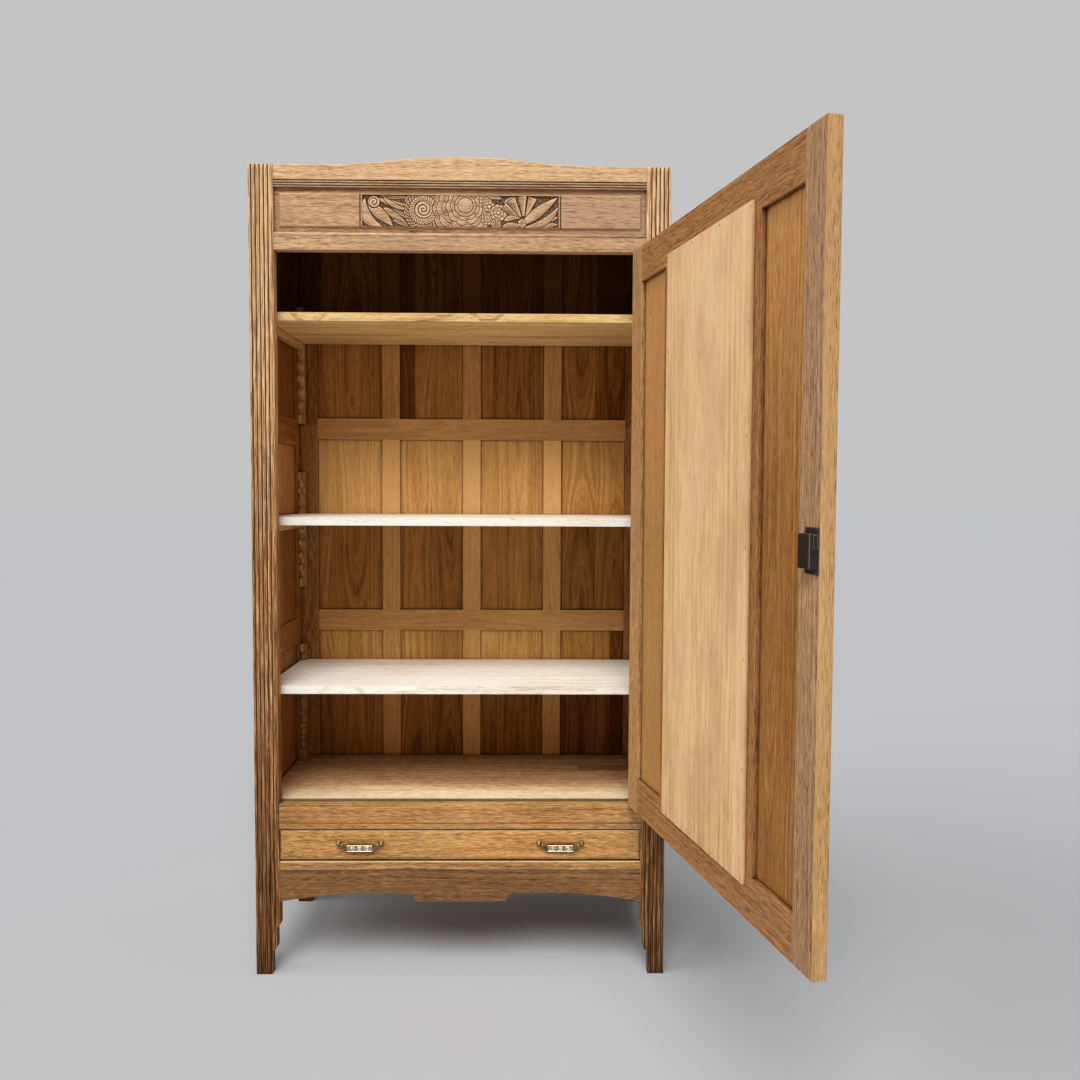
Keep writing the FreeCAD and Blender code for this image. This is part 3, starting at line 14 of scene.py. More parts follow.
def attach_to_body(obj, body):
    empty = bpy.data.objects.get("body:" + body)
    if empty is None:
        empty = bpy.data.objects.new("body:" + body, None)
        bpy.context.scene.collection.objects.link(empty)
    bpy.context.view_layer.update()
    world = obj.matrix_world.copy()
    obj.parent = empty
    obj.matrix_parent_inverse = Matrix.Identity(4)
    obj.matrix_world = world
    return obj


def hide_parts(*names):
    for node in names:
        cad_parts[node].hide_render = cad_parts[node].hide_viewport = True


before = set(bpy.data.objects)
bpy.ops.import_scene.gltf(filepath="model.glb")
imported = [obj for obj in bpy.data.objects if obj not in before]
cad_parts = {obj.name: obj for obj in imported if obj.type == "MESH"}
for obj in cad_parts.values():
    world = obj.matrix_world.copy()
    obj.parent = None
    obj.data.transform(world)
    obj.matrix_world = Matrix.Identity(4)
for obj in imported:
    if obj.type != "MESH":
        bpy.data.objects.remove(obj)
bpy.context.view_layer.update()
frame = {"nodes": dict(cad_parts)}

LOG = logging.getLogger("cabinet")
MM = 0.001

Rgb = tuple[int, int, int]
Triple = tuple[float, float, float]
Place = tuple[float, float]
Span = tuple[float, float, float]
Socket = bpy.types.NodeSocket
Nodes = dict[str, bpy.types.Object]

# Sockets of a Mix node that mixes colours.
MIX_FACTOR, MIX_BELOW, MIX_ABOVE, MIX_RESULT = 0, 6, 7, 2
# Middle of a random vector, whose parts run from 0 to 1.
MIDDLE = (0.5, 0.5, 0.5)
# Range in which nearly all of a noise lies.
NOISE_RANGE = (0.3, 0.7)
# Cosine between the rounded and the flat normal: on a face, and where an edge counts in full.
FLAT_COSINE, EDGE_COSINE = 0.995, 0.86
# Left and right of a middle.
HANDS = (-1, 1)
# Points round each ring of a turned piece.
LATHE_STEPS = 28
# Millimetres by which a laid-on piece keeps clear of its field's border and stands off its ground.
HAIR = 0.1
# Millimetres by which its back sinks into what carries it.
SUNK = 0.4


def linear(rgb: Rgb) -> tuple[float, float, float, float]:
    """Scene-linear colour, with alpha, of an sRGB triple from 0 to 255."""
    parts = [c / 255 for c in rgb]
    return tuple(p / 12.92 if p <= 0.04045 else ((p + 0.055) / 1.055) ** 2.4 for p in parts) + (1.0,)


class Grain(Enum):
    """The direction in which a board's fibres run, as the number of its axis."""

    ACROSS = 0
    BACKWARD = 1
    UPRIGHT = 2

    def scaled(self, along: float) -> Triple:
        """Scale of the three axes that squeezes the one along the fibres."""
        return tuple(along if axis == self.value else 1.0 for axis in range(3))

    def lean(self) -> Triple:
        """How far the pith may stray to the side on each axis, in metres."""
        stray = (0.02, 0.05, 0.02)
        return tuple(0.0 if axis == self.value else stray[axis] for axis in range(3))


class Side(Enum):
    """A side of the cabinet, as the sign of its X."""

    LEFT = -1
    RIGHT = 1

    def named(self, rest: str) -> str:
        """The name of a piece or body on this side."""
        return self.name.lower() + rest


class Sheet:
    """One material's node tree, with short calls for the nodes that the finishes share."""

    def __init__(self, name: str) -> None:
        """Starts an empty material with its shader and output.

        Args:
            name: the material's name.
        """
        self.material = bpy.data.materials.new(name)
        self.material.use_nodes = True
        self.tree = self.material.node_tree
        self.tree.nodes.clear()
        self.shader = self.add("BsdfPrincipled")
        output = self.add("OutputMaterial")
        self.tree.links.new(self.shader.outputs["BSDF"], output.inputs["Surface"])

    def add(self, kind: str, **settings: object) -> bpy.types.Node:
        """Adds a shader node.

        Args:
            kind: the node's type, without its ShaderNode prefix.
            settings: the node's own properties.

        Returns:
            The new node.
        """
        node = self.tree.nodes.new("ShaderNode" + kind)
        for key, value in settings.items():
            setattr(node, key, value)
        return node

    def feed(self, socket: Socket, value: object) -> None:
        """Links a socket to another, or sets its number."""
        if isinstance(value, Socket):
            self.tree.links.new(value, socket)
        else:
            socket.default_value = value

    def math(self, operation: str, first: object, second: object = 0.0) -> Socket:
        """One sum of two numbers.

        Args:
            operation: the Math node's operation.
            first: the first number or socket.
            second: the second number or socket.

        Returns:
            The socket that carries the result.
        """
        node = self.add("Math", operation=operation)
        self.feed(node.inputs[0], first)
        self.feed(node.inputs[1], second)
        return node.outputs[0]

    def product(self, *factors: object) -> Socket:
        """The product of numbers and sockets."""
        result = factors[0]
        for factor in factors[1:]:
            result = self.math("MULTIPLY", result, factor)
        return result

    def vector(self, operation: str, first: object, second: object = (0.0, 0.0, 0.0)) -> Socket:
        """One sum of two vectors.

        Args:
            operation: the Vector Math node's operation.
            first: the first vector or socket.
            second: the second vector or socket.

        Returns:
            The socket that carries the result, a number for DOT_PRODUCT and LENGTH.
        """
        node = self.add("VectorMath", operation=operation)
        self.feed(node.inputs[0], first)
        self.feed(node.inputs[1], second)
        return node.outputs["Value" if operation in ("DOT_PRODUCT", "LENGTH") else "Vector"]

    def centred(self, random: object, reach: Triple) -> Socket:
        """A random vector moved from 0 to 1 round zero, times its reach on each axis."""
        return self.vector("MULTIPLY", self.vector("SUBTRACT", random, MIDDLE), reach)

    def coordinate(self, at: object, axis: Grain) -> Socket:
        """One axis of a vector, as a number."""
        return self.vector("DOT_PRODUCT", at, tuple(1.0 if n == axis.value else 0.0 for n in range(3)))

    def triple(self, number: object) -> Socket:
        """The same number on all three axes."""
        node = self.add("CombineXYZ")
        for socket in node.inputs:
            self.feed(socket, number)
        return node.outputs[0]

    def blend(self, kind: str, factor: object, first: object, second: object) -> Socket:
        """Mixes two colours.

        Args:
            kind: the Mix node's blend type.
            factor: how much of the second colour.
            first: the colour below.
            second: the colour laid over it.

        Returns:
            The socket that carries the mixed colour.
        """
        node = self.add("Mix", data_type="RGBA", blend_type=kind)
        self.feed(node.inputs[MIX_FACTOR], factor)
        self.feed(node.inputs[MIX_BELOW], first)
        self.feed(node.inputs[MIX_ABOVE], second)
        return node.outputs[MIX_RESULT]

    def noise(self, at: object, scale: float, detail: float = 2.0, rough: float = 0.5) -> Socket:
        """Fractal noise from 0 to 1.

        Args:
            at: the coordinates.
            scale: lumps per metre.
            detail: octaves.
            rough: weight of each finer octave.

        Returns:
            The socket that carries the noise.
        """
        node = self.add("TexNoise")
        self.feed(node.inputs["Vector"], at)
        node.inputs["Scale"].default_value = scale
        node.inputs["Detail"].default_value = detail
        node.inputs["Roughness"].default_value = rough
        return node.outputs["Fac"]

    def spread(self, value: object, low: float, high: float, to_low: float = 0.0,
               to_high: float = 1.0) -> Socket:
        """Stretches a range of numbers to another and clamps it.

        Args:
            value: the number or socket.
            low: the number that becomes to_low.
            high: the number that becomes to_high.
            to_low: the result at low.
            to_high: the result at high.

        Returns:
            The socket that carries the result.
        """
        node = self.add("MapRange", clamp=True)
        for socket, number in zip(node.inputs, (value, low, high, to_low, to_high)):
            self.feed(socket, number)
        return node.outputs[0]

    def tones(self, value: object, stops: list[tuple[float, Rgb]]) -> Socket:
        """Colour ramp from a number.

        Args:
            value: the number or socket, 0 to 1.
            stops: place and sRGB colour of each stop.

        Returns:
            The socket that carries the colour.
        """
        node = self.add("ValToRGB")
        ramp = node.color_ramp
        while len(ramp.elements) < len(stops):
            ramp.elements.new(0.5)
        for element, (place, rgb) in zip(ramp.elements, stops):
            element.position = place
            element.color = linear(rgb)
        self.feed(node.inputs[0], value)
        return node.outputs[0]

    def edges(self, radius: float) -> tuple[Socket, Socket]:
        """Where a solid's edges lie, from its rounded normal.

        Args:
            radius: how far from an edge the rounding reaches, in metres.

        Returns:
            The rounded normal, and a mask that is 1 on an edge and 0 on a flat face.
        """
        bevel = self.add("Bevel", samples=4)
        bevel.inputs["Radius"].default_value = radius
        face = self.add("NewGeometry").outputs["Normal"]
        cosine = self.vector("DOT_PRODUCT", bevel.outputs["Normal"], face)
        return bevel.outputs["Normal"], self.spread(cosine, FLAT_COSINE, EDGE_COSINE)

    def shelter(self, distance: float, local: bool) -> Socket:
        """How open a point is: 1 on an open face, near 0 deep in a corner.

        Args:
            distance: how far away a wall still counts, in metres.
            local: True to count only the piece's own walls.

        Returns:
            The socket that carries the openness.
        """
        node = self.add("AmbientOcclusion", samples=6, only_local=local)
        node.inputs["Distance"].default_value = distance
        return node.outputs["AO"]

    def relieved(self, colour: object, hollows: Rgb, ridges: Rgb, low: Span, high: Span) -> Socket:
        """Lays one colour in a relief's hollows and another on its ridges.

        Args:
            colour: the colour of the rest.
            hollows: the colour of the hollows.
            ridges: the colour of the ridges.
            low: the heights where the hollows' colour starts and is full, and its share there.
            high: the same for the ridges' colour.

        Returns:
            The socket that carries the colour.
        """
        height = self.add("Attribute", attribute_name="relief").outputs["Fac"]
        for rgb, (start, full, share) in ((hollows, low), (ridges, high)):
            colour = self.blend("MIX", self.spread(height, start, full, 0.0, share), colour, linear(rgb))
        return colour

    def bump(self, height: object, strength: float, distance: float,
             normal: Optional[Socket] = None) -> Socket:
        """Surface relief from a height.

        Args:
            height: the height socket, 0 to 1.
            strength: how much of it shows.
            distance: the depth of a full step, in metres.
            normal: the normal that it starts from, if not the face's own.

        Returns:
            The socket that carries the bent normal.
        """
        node = self.add("Bump")
        node.inputs["Strength"].default_value = strength
        node.inputs["Distance"].default_value = distance
        self.feed(node.inputs["Height"], height)
        if normal is not None:
            self.feed(node.inputs["Normal"], normal)
        return node.outputs["Normal"]

    def close(self, colour: object, rough: object, normal: object, **numbers: float) -> bpy.types.Material:
        """Feeds the shader and gives back the material.

        Args:
            colour: the base colour socket.
            rough: the roughness socket or number.
            normal: the normal socket.
            numbers: further shader sockets, with _ for each space in their names.

        Returns:
            The finished material.
        """
        self.feed(self.shader.inputs["Base Color"], colour)
        self.feed(self.shader.inputs["Roughness"], rough)
        self.feed(self.shader.inputs["Normal"], normal)
        for key, number in numbers.items():
            self.shader.inputs[key.replace("_", " ")].default_value = number
        return self.material


@dataclass(frozen=True)
class Pattern:
    """Fractal noise: lumps per metre, octaves, weight of each finer octave, and scale along the grain.

    Where the pattern is shown as a mask, noise of the size low becomes 0 and of the size high 1.
    """

    scale: float
    detail: float
    rough: float
    along: float = 1.0
    low: float = 0.0
    high: float = 1.0

    def draw(self, sheet: Sheet, at: object, grain: Optional[Grain] = None, stretch: float = 1.0) -> Socket:
        """The plain noise at a place, squeezed along the grain if there is one."""
        if grain is not None:
            at = sheet.vector("MULTIPLY", at, grain.scaled(self.along * stretch))
        return sheet.noise(at, self.scale, self.detail, self.rough)

    def show(self, sheet: Sheet, at: object, share: float, grain: Optional[Grain] = None,
             stretch: float = 1.0) -> Socket:
        """The noise as a mask that runs from 0 to a share."""
        return sheet.spread(self.draw(sheet, at, grain, stretch), self.low, self.high, 0.0, share)


@dataclass(frozen=True)
class Boards:
    """How a part is divided into boards, each of its own tone and figure."""

    pitch: Triple
    origin: Triple
    tone: float
    joint: float

    @property
    def divided(self) -> bool:
        """Whether the boards differ in tone or show their joints."""
        return bool(self.tone or self.joint)


# Pitch and start of an axis that isn't divided into boards.
UNDIVIDED = (9.0, -4.5)


def split(across: Place = UNDIVIDED, backward: Place = UNDIVIDED, upright: Place = UNDIVIDED,
          tone: float = 0.0, joint: float = 0.0) -> Boards:
    """Divides a part into boards; an undivided axis has one board that is wider than the cabinet.

    Args:
        across: pitch of the boards on X and the place where one starts, in metres.
        backward: the same on Y.
        upright: the same on Z.
        tone: how much the boards differ.
        joint: how dark the gaps between them are.

    Returns:
        The division.
    """
    axes = (across, backward, upright)
    return Boards(tuple(pitch for pitch, _ in axes), tuple(start for _, start in axes), tone, joint)


@dataclass(frozen=True)
class Patch:
    """A box-shaped area that is darker or paler than the rest."""

    low: Triple
    high: Triple
    tone: float


@dataclass(frozen=True)
class Stain:
    """A box-shaped area whose wood has a share of another colour."""

    low: Triple
    high: Triple
    colour: Rgb
    share: float


@dataclass(frozen=True)
class Fade:
    """A tone that grows from one place to another along an axis."""

    axis: Grain
    start: float
    end: float
    tone: float


@dataclass(frozen=True)
class Hollow:
    """Grooves darkened by painted shade over old polish: where they lie on one axis, and on the other.

    The second place counts on both sides of the middle.
    """

    axis: Grain
    start: float
    end: float
    soot: float
    beside: Grain
    near: float
    far: float


# The patterns of a wood: those with a low and a high are shown as masks.
FIBRES = Pattern(560.0, 4.0, 0.75, along=0.07)
STREAKS = Pattern(120.0, 4.0, 0.65, along=0.05)
DRIFTS = Pattern(7.0, 3.0, 0.55, along=0.3)
RAYS = Pattern(380.0, 2.0, 0.5, along=0.14, low=0.54, high=0.68)
DASHES = Pattern(540.0, 2.0, 0.6, along=0.07, low=0.47, high=0.34)
RUBBING = Pattern(40.0, 4.0, 0.6, along=0.15, low=0.28, high=0.58)
WEATHER = Pattern(11.0, 4.0, 0.6, along=0.35, low=0.46, high=0.70)


@dataclass(frozen=True)
class Wood:
    """A planed, aged wood: growth rings, streaks, flecks, painted shade with soiling in its corners, and
    abraded edges with painted highlights.

    Lengths are in metres and colours in sRGB. The figure (of the rings), streak, drift and fibre
    are the weights of those patterns in the wood's tone, which is 0 where it is dark, 0.5 in the
    middle and 1 where it is pale. The pith is given from the middle of a board.
    """

    BOARD_SHIFT: ClassVar[float] = 0.7
    PLANK_SHIFT: ClassVar[float] = 0.5
    PITH_STRAY: ClassVar[Triple] = (0.05, 0.03, 0.03)
    PITH_PHASE: ClassVar[Triple] = (7.0, 5.0, 3.0)
    PITH_BENDS: ClassVar[float] = 1.4
    RING_OCTAVES: ClassVar[float] = 3.0
    RING_ROUGHNESS: ClassVar[float] = 0.62
    LUMPS: ClassVar[float] = 7.0
    LUMPS_ALONG: ClassVar[float] = 0.4
    KNOTS_PER_METRE: ClassVar[float] = 9.0
    KNOT_THROUGH: ClassVar[float] = 0.1
    KNOT_ALONG: ClassVar[float] = 0.5
    KNOT_CHOICE_BLUR: ClassVar[float] = 0.05
    KNOT_CORE: ClassVar[float] = 0.6
    KNOT_REACH: ClassVar[float] = 4
    KNOT_SWELL: ClassVar[float] = 0.02
    KNOT_SHARE: ClassVar[float] = 0.8
    HEART_SHADE: ClassVar[float] = 0.6
    PATCH_BLUR: ClassVar[float] = 0.004
    JOINT_WIDTHS: ClassVar[Place] = (0.0016, 0.0006)
    # Painted shade with soiling: colour and openness for corners that ambient occlusion darkens.
    SHADE_AND_GRIME_BASE: ClassVar[Rgb] = (44, 34, 26)
    SHADE_AND_GRIME_OPENNESS: ClassVar[Place] = (0.90, 0.35)
    RUB_OPENNESS: ClassVar[Place] = (0.55, 0.9)
    CARVED_LOW: ClassVar[Span] = (0.60, 0.32, 0.97)
    CARVED_HIGH: ClassVar[Span] = (0.62, 0.88, 0.85)
    FLECK_BASE: ClassVar[int] = 50
    FLECK_RINGS: ClassVar[tuple[float, ...]] = (0.62, 0.38, 0.35, 1.0)
    STREAK_HEIGHT: ClassVar[float] = 0.6
    GROOVE_BLUR: ClassVar[float] = 0.0003
    GROOVE_START: ClassVar[float] = 0.0005
    STREAK_SHINE: ClassVar[float] = 0.07
    DIRT_SHINE: ClassVar[float] = 0.15
    BUMP_DEPTH: ClassVar[float] = 0.0007

    name: str
    pale: Rgb
    middle: Rgb
    dark: Rgb
    grain: Grain = Grain.UPRIGHT
    pith: Triple = (0.0, 0.0, 0.0)
    ring: float = 0.007
    figure: float = 0.5
    streak: float = 0.5
    drift: float = 0.4
    fibre: float = 2.3
    fleck: float = 0.75
    ray: float = 0.15
    bend: float = 0.006
    stretch: float = 1.0
    silver: float = 0.15
    grey: Rgb = (150, 128, 108)
    # The dark colour of joints, and of painted shade with old polish in corners, grooves and carved hollows.
    soot: Rgb = (58, 36, 20)
    # Strength and reach of the painted shade with soiling in corners.
    grime: float = 0.85
    grime_reach: float = 0.010
    # Abraded edges: their share and colour, partly real abrasion and partly a painted highlight.
    wear: float = 0.6
    worn: Rgb = (226, 188, 146)
    edge: float = 0.0016
    rough: float = 0.58
    bump: float = 0.4
    gloss: float = 0.12
    tone: float = 0.5
    turn: float = 0.0
    hinge: Place = (0.0, 0.0)
    boards: Boards = split()
    planks: Boards = split()
    patches: tuple[Patch, ...] = ()
    fades: tuple[Fade, ...] = ()
    hollows: tuple[Hollow, ...] = ()
    stains: tuple[Stain, ...] = ()
    knots: float = 0.0
    knot_size: float = 0.075
    thickness: Grain = Grain.BACKWARD
    local: bool = False
    carved: bool = False

    def place(self, sheet: Sheet) -> Socket:
        """Object coordinates, turned about the hinge to where the part's own axes are straight."""
        at = sheet.add("TexCoord").outputs["Object"]
        if not self.turn:
            return at
        node = sheet.add("Mapping")
        angle = -math.radians(self.turn)
        x, y = self.hinge
        sheet.feed(node.inputs["Vector"], at)
        node.inputs["Rotation"].default_value = (0.0, 0.0, angle)
        node.inputs["Location"].default_value = (x - (x * math.cos(angle) - y * math.sin(angle)),
                                                 y - (x * math.sin(angle) + y * math.cos(angle)), 0.0)
        return node.outputs["Vector"]

    def board(self, sheet: Sheet, at: object, boards: Boards) -> tuple[Socket, Socket, Socket]:
        """Finds the board that a point is on.

        Args:
            sheet: the material's nodes.
            at: the coordinates.
            boards: how the part is divided.

        Returns:
            A random vector and a random number that are the same all over one board, and the
            place inside the board, each axis from 0 to 1.
        """
        cells = sheet.vector("DIVIDE", sheet.vector("SUBTRACT", at, boards.origin), boards.pitch)
        node = sheet.add("TexWhiteNoise", noise_dimensions="3D")
        sheet.feed(node.inputs["Vector"], sheet.vector("FLOOR", cells))
        return node.outputs["Color"], node.outputs["Value"], sheet.vector("FRACTION", cells)

    def rings(self, sheet: Sheet, from_middle: object, seed: object, wander: object) -> Socket:
        """Growth rings: uneven bands of the distance from a pith that winds a little through the board.

        Args:
            sheet: the material's nodes.
            from_middle: the place seen from the middle of the board, in metres.
            seed: the board's random vector, which moves its pith.
            wander: how far the fibres bend aside here.

        Returns:
            The socket that carries the ring's tone.
        """
        from_pith = sheet.vector("SUBTRACT", from_middle, self.pith)
        strayed = sheet.vector("ADD", from_pith, sheet.centred(seed, self.PITH_STRAY))
        offset = sheet.vector("ADD", strayed, wander)
        along = sheet.math("ADD", sheet.coordinate(from_pith, self.grain),
                           sheet.vector("DOT_PRODUCT", seed, self.PITH_PHASE))
        path = sheet.add("TexNoise", noise_dimensions="1D")
        sheet.feed(path.inputs["W"], along)
        path.inputs["Scale"].default_value = self.PITH_BENDS
        path.inputs["Detail"].default_value = 1.0
        aside = sheet.centred(path.outputs["Color"], self.grain.lean())
        flat = sheet.vector("MULTIPLY", sheet.vector("ADD", offset, aside), self.grain.scaled(0.0))
        node = sheet.add("TexNoise", noise_dimensions="1D")
        sheet.feed(node.inputs["W"], sheet.vector("LENGTH", flat))
        node.inputs["Scale"].default_value = 1.0 / self.ring
        node.inputs["Detail"].default_value = self.RING_OCTAVES
        node.inputs["Roughness"].default_value = self.RING_ROUGHNESS
        return node.outputs["Fac"]

    def knot(self, sheet: Sheet, at: object) -> tuple[Socket, Socket]:
        """Scattered knots.

        Args:
            sheet: the material's nodes.
            at: the coordinates.

        Returns:
            A mask that is 1 in a knot, and a swell that bends the grain round it.
        """
        node = sheet.add("TexVoronoi")
        flat = sheet.vector("MULTIPLY", at, self.thickness.scaled(self.KNOT_THROUGH))
        drawn = sheet.vector("MULTIPLY", flat, self.grain.scaled(self.KNOT_ALONG))
        sheet.feed(node.inputs["Vector"], drawn)
        node.inputs["Scale"].default_value = self.KNOTS_PER_METRE
        chance = sheet.coordinate(node.outputs["Color"], Grain.ACROSS)
        chosen = sheet.spread(chance, 1.0 - self.knots, 1.0 - self.knots + self.KNOT_CHOICE_BLUR)
        distance = node.outputs["Distance"]
        mask = sheet.product(sheet.spread(distance, self.knot_size, self.knot_size * self.KNOT_CORE), chosen)
        swell = sheet.product(sheet.spread(distance, self.knot_size * self.KNOT_REACH, 0.0), chosen)
        return mask, swell

    def inside(self, sheet: Sheet, at: object, box: Patch | Stain) -> Socket:
        """1 inside the box and 0 outside: no offset from its middle is above the half size."""
        middle = tuple((a + b) / 2 for a, b in zip(box.low, box.high))
        half = tuple((b - a) / 2 for a, b in zip(box.low, box.high))
        offset = sheet.vector("ABSOLUTE", sheet.vector("SUBTRACT", at, middle))
        parts = sheet.add("SeparateXYZ")
        sheet.feed(parts.inputs[0], sheet.vector("DIVIDE", offset, half))
        across, backward, upright = parts.outputs
        most = sheet.math("MAXIMUM", sheet.math("MAXIMUM", across, backward), upright)
        return sheet.spread(most, 1 + self.PATCH_BLUR, 1 - self.PATCH_BLUR)

    def tint(self, sheet: Sheet, at: object, own: object, weights: list[tuple[object, float]]) -> Socket:
        """Adds up all that makes the wood paler or darker, and takes the colour from it.

        Args:
            sheet: the material's nodes.
            at: the coordinates.
            own: the coordinates moved by the board's seed.
            weights: each pattern with its weight.

        Returns:
            The socket that carries the colour.
        """
        tone = self.tone
        for source, weight in weights:
            if weight:
                tone = sheet.math("ADD", tone, sheet.product(sheet.math("SUBTRACT", source, 0.5), weight))
        # Patches and fades: painted light where they make the wood paler, painted shade where darker.
        for patch in self.patches:
            tone = sheet.math("ADD", tone, sheet.product(self.inside(sheet, at, patch), patch.tone))
        for fade in self.fades:
            along = sheet.coordinate(at, fade.axis)
            tone = sheet.math("ADD", tone, sheet.spread(along, fade.start, fade.end, 0.0, fade.tone))
        colour = sheet.tones(tone, [(0.0, self.dark), (0.5, self.middle), (1.0, self.pale)])
        weathered = WEATHER.show(sheet, own, self.silver, self.grain)
        colour = sheet.blend("MIX", weathered, colour, linear(self.grey))
        for stain in self.stains:
            share = sheet.product(self.inside(sheet, at, stain), stain.share)
            colour = sheet.blend("MIX", share, colour, linear(stain.colour))
        return colour

    def joints(self, sheet: Sheet, inside: object) -> Socket:
        """A mask that is darkest in the gaps between the planks.

        Args:
            sheet: the material's nodes.
            inside: the place inside the plank, each axis from 0 to 1.

        Returns:
            The socket that carries the mask.
        """
        axis = Grain.BACKWARD if self.grain is Grain.ACROSS else Grain.ACROSS
        pitch = self.planks.pitch[axis.value]
        outer, inner = self.JOINT_WIDTHS
        beside = sheet.coordinate(inside, axis)
        return sheet.product(sheet.spread(beside, outer / pitch, inner / pitch), self.planks.joint)

    def groove(self, sheet: Sheet, at: object, hollow: Hollow) -> Socket:
        """A mask that shows where a hollow's painted shade and old polish lie."""
        along = sheet.coordinate(at, hollow.axis)
        beside = sheet.math("ABSOLUTE", sheet.coordinate(at, hollow.beside))
        blur = self.GROOVE_BLUR
        return sheet.product(sheet.spread(along, hollow.start - blur, hollow.start + self.GROOVE_START),
                             sheet.spread(along, hollow.end + blur, hollow.end - blur),
                             sheet.math("GREATER_THAN", beside, hollow.near),
                             sheet.math("LESS_THAN", beside, hollow.far), hollow.soot)

    def aged(self, sheet: Sheet, at: object, own: object, colour: object) -> tuple[Socket, Socket, Socket]:
        """Lays painted shade with soiling in the corners, abrades the edges with a painted highlight, and
        fills the hollows with painted shade over old polish.

        Args:
            sheet: the material's nodes.
            at: the coordinates.
            own: the coordinates moved by the board's seed.
            colour: the clean wood's colour.

        Returns:
            The aged colour, the mask of painted shade with soiling, and the rounded normal.
        """
        normal, edge = sheet.edges(self.edge)
        # Painted shade, together with soiling: darker wherever ambient occlusion finds walls near.
        open_air = sheet.shelter(self.grime_reach, self.local)
        shade_and_dirt = sheet.product(sheet.spread(open_air, *self.SHADE_AND_GRIME_OPENNESS), self.grime)
        grime = tuple(c // 2 + base for c, base in zip(self.soot, self.SHADE_AND_GRIME_BASE))
        colour = sheet.blend("MULTIPLY", shade_and_dirt, colour, linear(grime))
        # Carving: painted shade over old polish in its hollows, painted highlights over abrasion on its
        # ridges.
        if self.carved:
            colour = sheet.relieved(colour, self.soot, self.worn, self.CARVED_LOW, self.CARVED_HIGH)
        # Abraded edges, paler on open arrises: partly real abrasion and partly a painted highlight.
        patchy = RUBBING.show(sheet, own, 1.0, self.grain)
        rub_and_light = sheet.product(edge, sheet.spread(open_air, *self.RUB_OPENNESS), patchy, self.wear)
        colour = sheet.blend("MIX", rub_and_light, colour, linear(self.worn))
        # Grooves: painted shade over old polish.
        for hollow in self.hollows:
            colour = sheet.blend("MIX", self.groove(sheet, at, hollow), colour, linear(self.soot))
        return colour, shade_and_dirt, normal

    def build(self) -> bpy.types.Material:
        """Draws the wood's nodes: its boards, figure, knots, flecks and joints, and then its age.

        Returns:
            The finished material.
        """
        sheet = Sheet(self.name)
        at = self.place(sheet)
        seed, number, inside = self.board(sheet, at, self.boards)
        strip_seed, strip_number, strip_inside = self.board(sheet, at, self.planks)
        own = at
        for random, reach in ((seed, self.BOARD_SHIFT), (strip_seed, self.PLANK_SHIFT)):
            own = sheet.vector("ADD", own, sheet.vector("MULTIPLY", random, (reach,) * 3))
        lump = sheet.add("TexNoise")
        sheet.feed(lump.inputs["Vector"], sheet.vector("MULTIPLY", own, self.grain.scaled(self.LUMPS_ALONG)))
        lump.inputs["Scale"].default_value = self.LUMPS
        wander = sheet.centred(lump.outputs["Color"], (self.bend,) * 3)
        knot_mask = None
        if self.knots:
            knot_mask, swell = self.knot(sheet, own)
            pushed = sheet.vector("MULTIPLY", sheet.triple(swell), (self.KNOT_SWELL,) * 3)
            wander = sheet.vector("ADD", wander, pushed)
        bent = sheet.vector("ADD", own, wander)
        cells = self.boards
        if self.planks.divided:
            cells, inside, seed = self.planks, strip_inside, strip_seed
        ring = self.rings(sheet, sheet.centred(inside, cells.pitch), seed, wander)
        fibre = FIBRES.draw(sheet, bent, self.grain, self.stretch)
        streak = STREAKS.draw(sheet, bent, self.grain, self.stretch)
        drift = DRIFTS.draw(sheet, bent, self.grain)
        colour = self.tint(sheet, at, own, [
            (ring, self.figure), (streak, self.streak), (drift, self.drift), (fibre, self.fibre),
            (number, self.boards.tone), (strip_number, self.planks.tone)])
        colour = sheet.blend("SCREEN", RAYS.show(sheet, bent, self.ray, self.grain), colour, colour)
        cut = sheet.product(DASHES.show(sheet, bent, self.fleck, self.grain, self.stretch),
                            sheet.spread(ring, *self.FLECK_RINGS))
        fleck = tuple(c // 2 + self.FLECK_BASE for c in self.dark)
        colour = sheet.blend("MULTIPLY", cut, colour, linear(fleck))
        raised = sheet.math("ADD", fibre, sheet.product(streak, self.STREAK_HEIGHT))
        height = sheet.math("SUBTRACT", raised, cut)
        if knot_mask is not None:
            heart = tuple(int(c * self.HEART_SHADE) for c in self.dark)
            colour = sheet.blend("MIX", sheet.product(knot_mask, self.KNOT_SHARE), colour, linear(heart))
        if self.planks.joint:
            gap = self.joints(sheet, strip_inside)
            colour = sheet.blend("MIX", gap, colour, linear(self.soot))
            height = sheet.math("SUBTRACT", height, gap)
        colour, shade_and_dirt, normal = self.aged(sheet, at, own, colour)
        dull, shiny = self.rough + self.STREAK_SHINE, self.rough - self.STREAK_SHINE
        rough = sheet.math("ADD", sheet.spread(streak, *NOISE_RANGE, dull, shiny),
                           sheet.product(shade_and_dirt, self.DIRT_SHINE))
        relief = sheet.bump(height, self.bump, self.BUMP_DEPTH, normal)
        return sheet.close(colour, rough, relief, Specular_IOR_Level=self.gloss)


# The patterns of a metal and of a mirror.
TARNISH = Pattern(140.0, 5.0, 0.65)
PITS = Pattern(1500.0, 3.0, 0.6)
SCRATCHES = Pattern(1900.0, 2.0, 0.5, along=0.08)
SPOTS = Pattern(70.0, 6.0, 0.7, low=0.66, high=0.72)
HAZE = Pattern(6.0, 3.0, 0.5, low=NOISE_RANGE[0], high=NOISE_RANGE[1])
WAVES = Pattern(3.0, 1.0, 0.4)


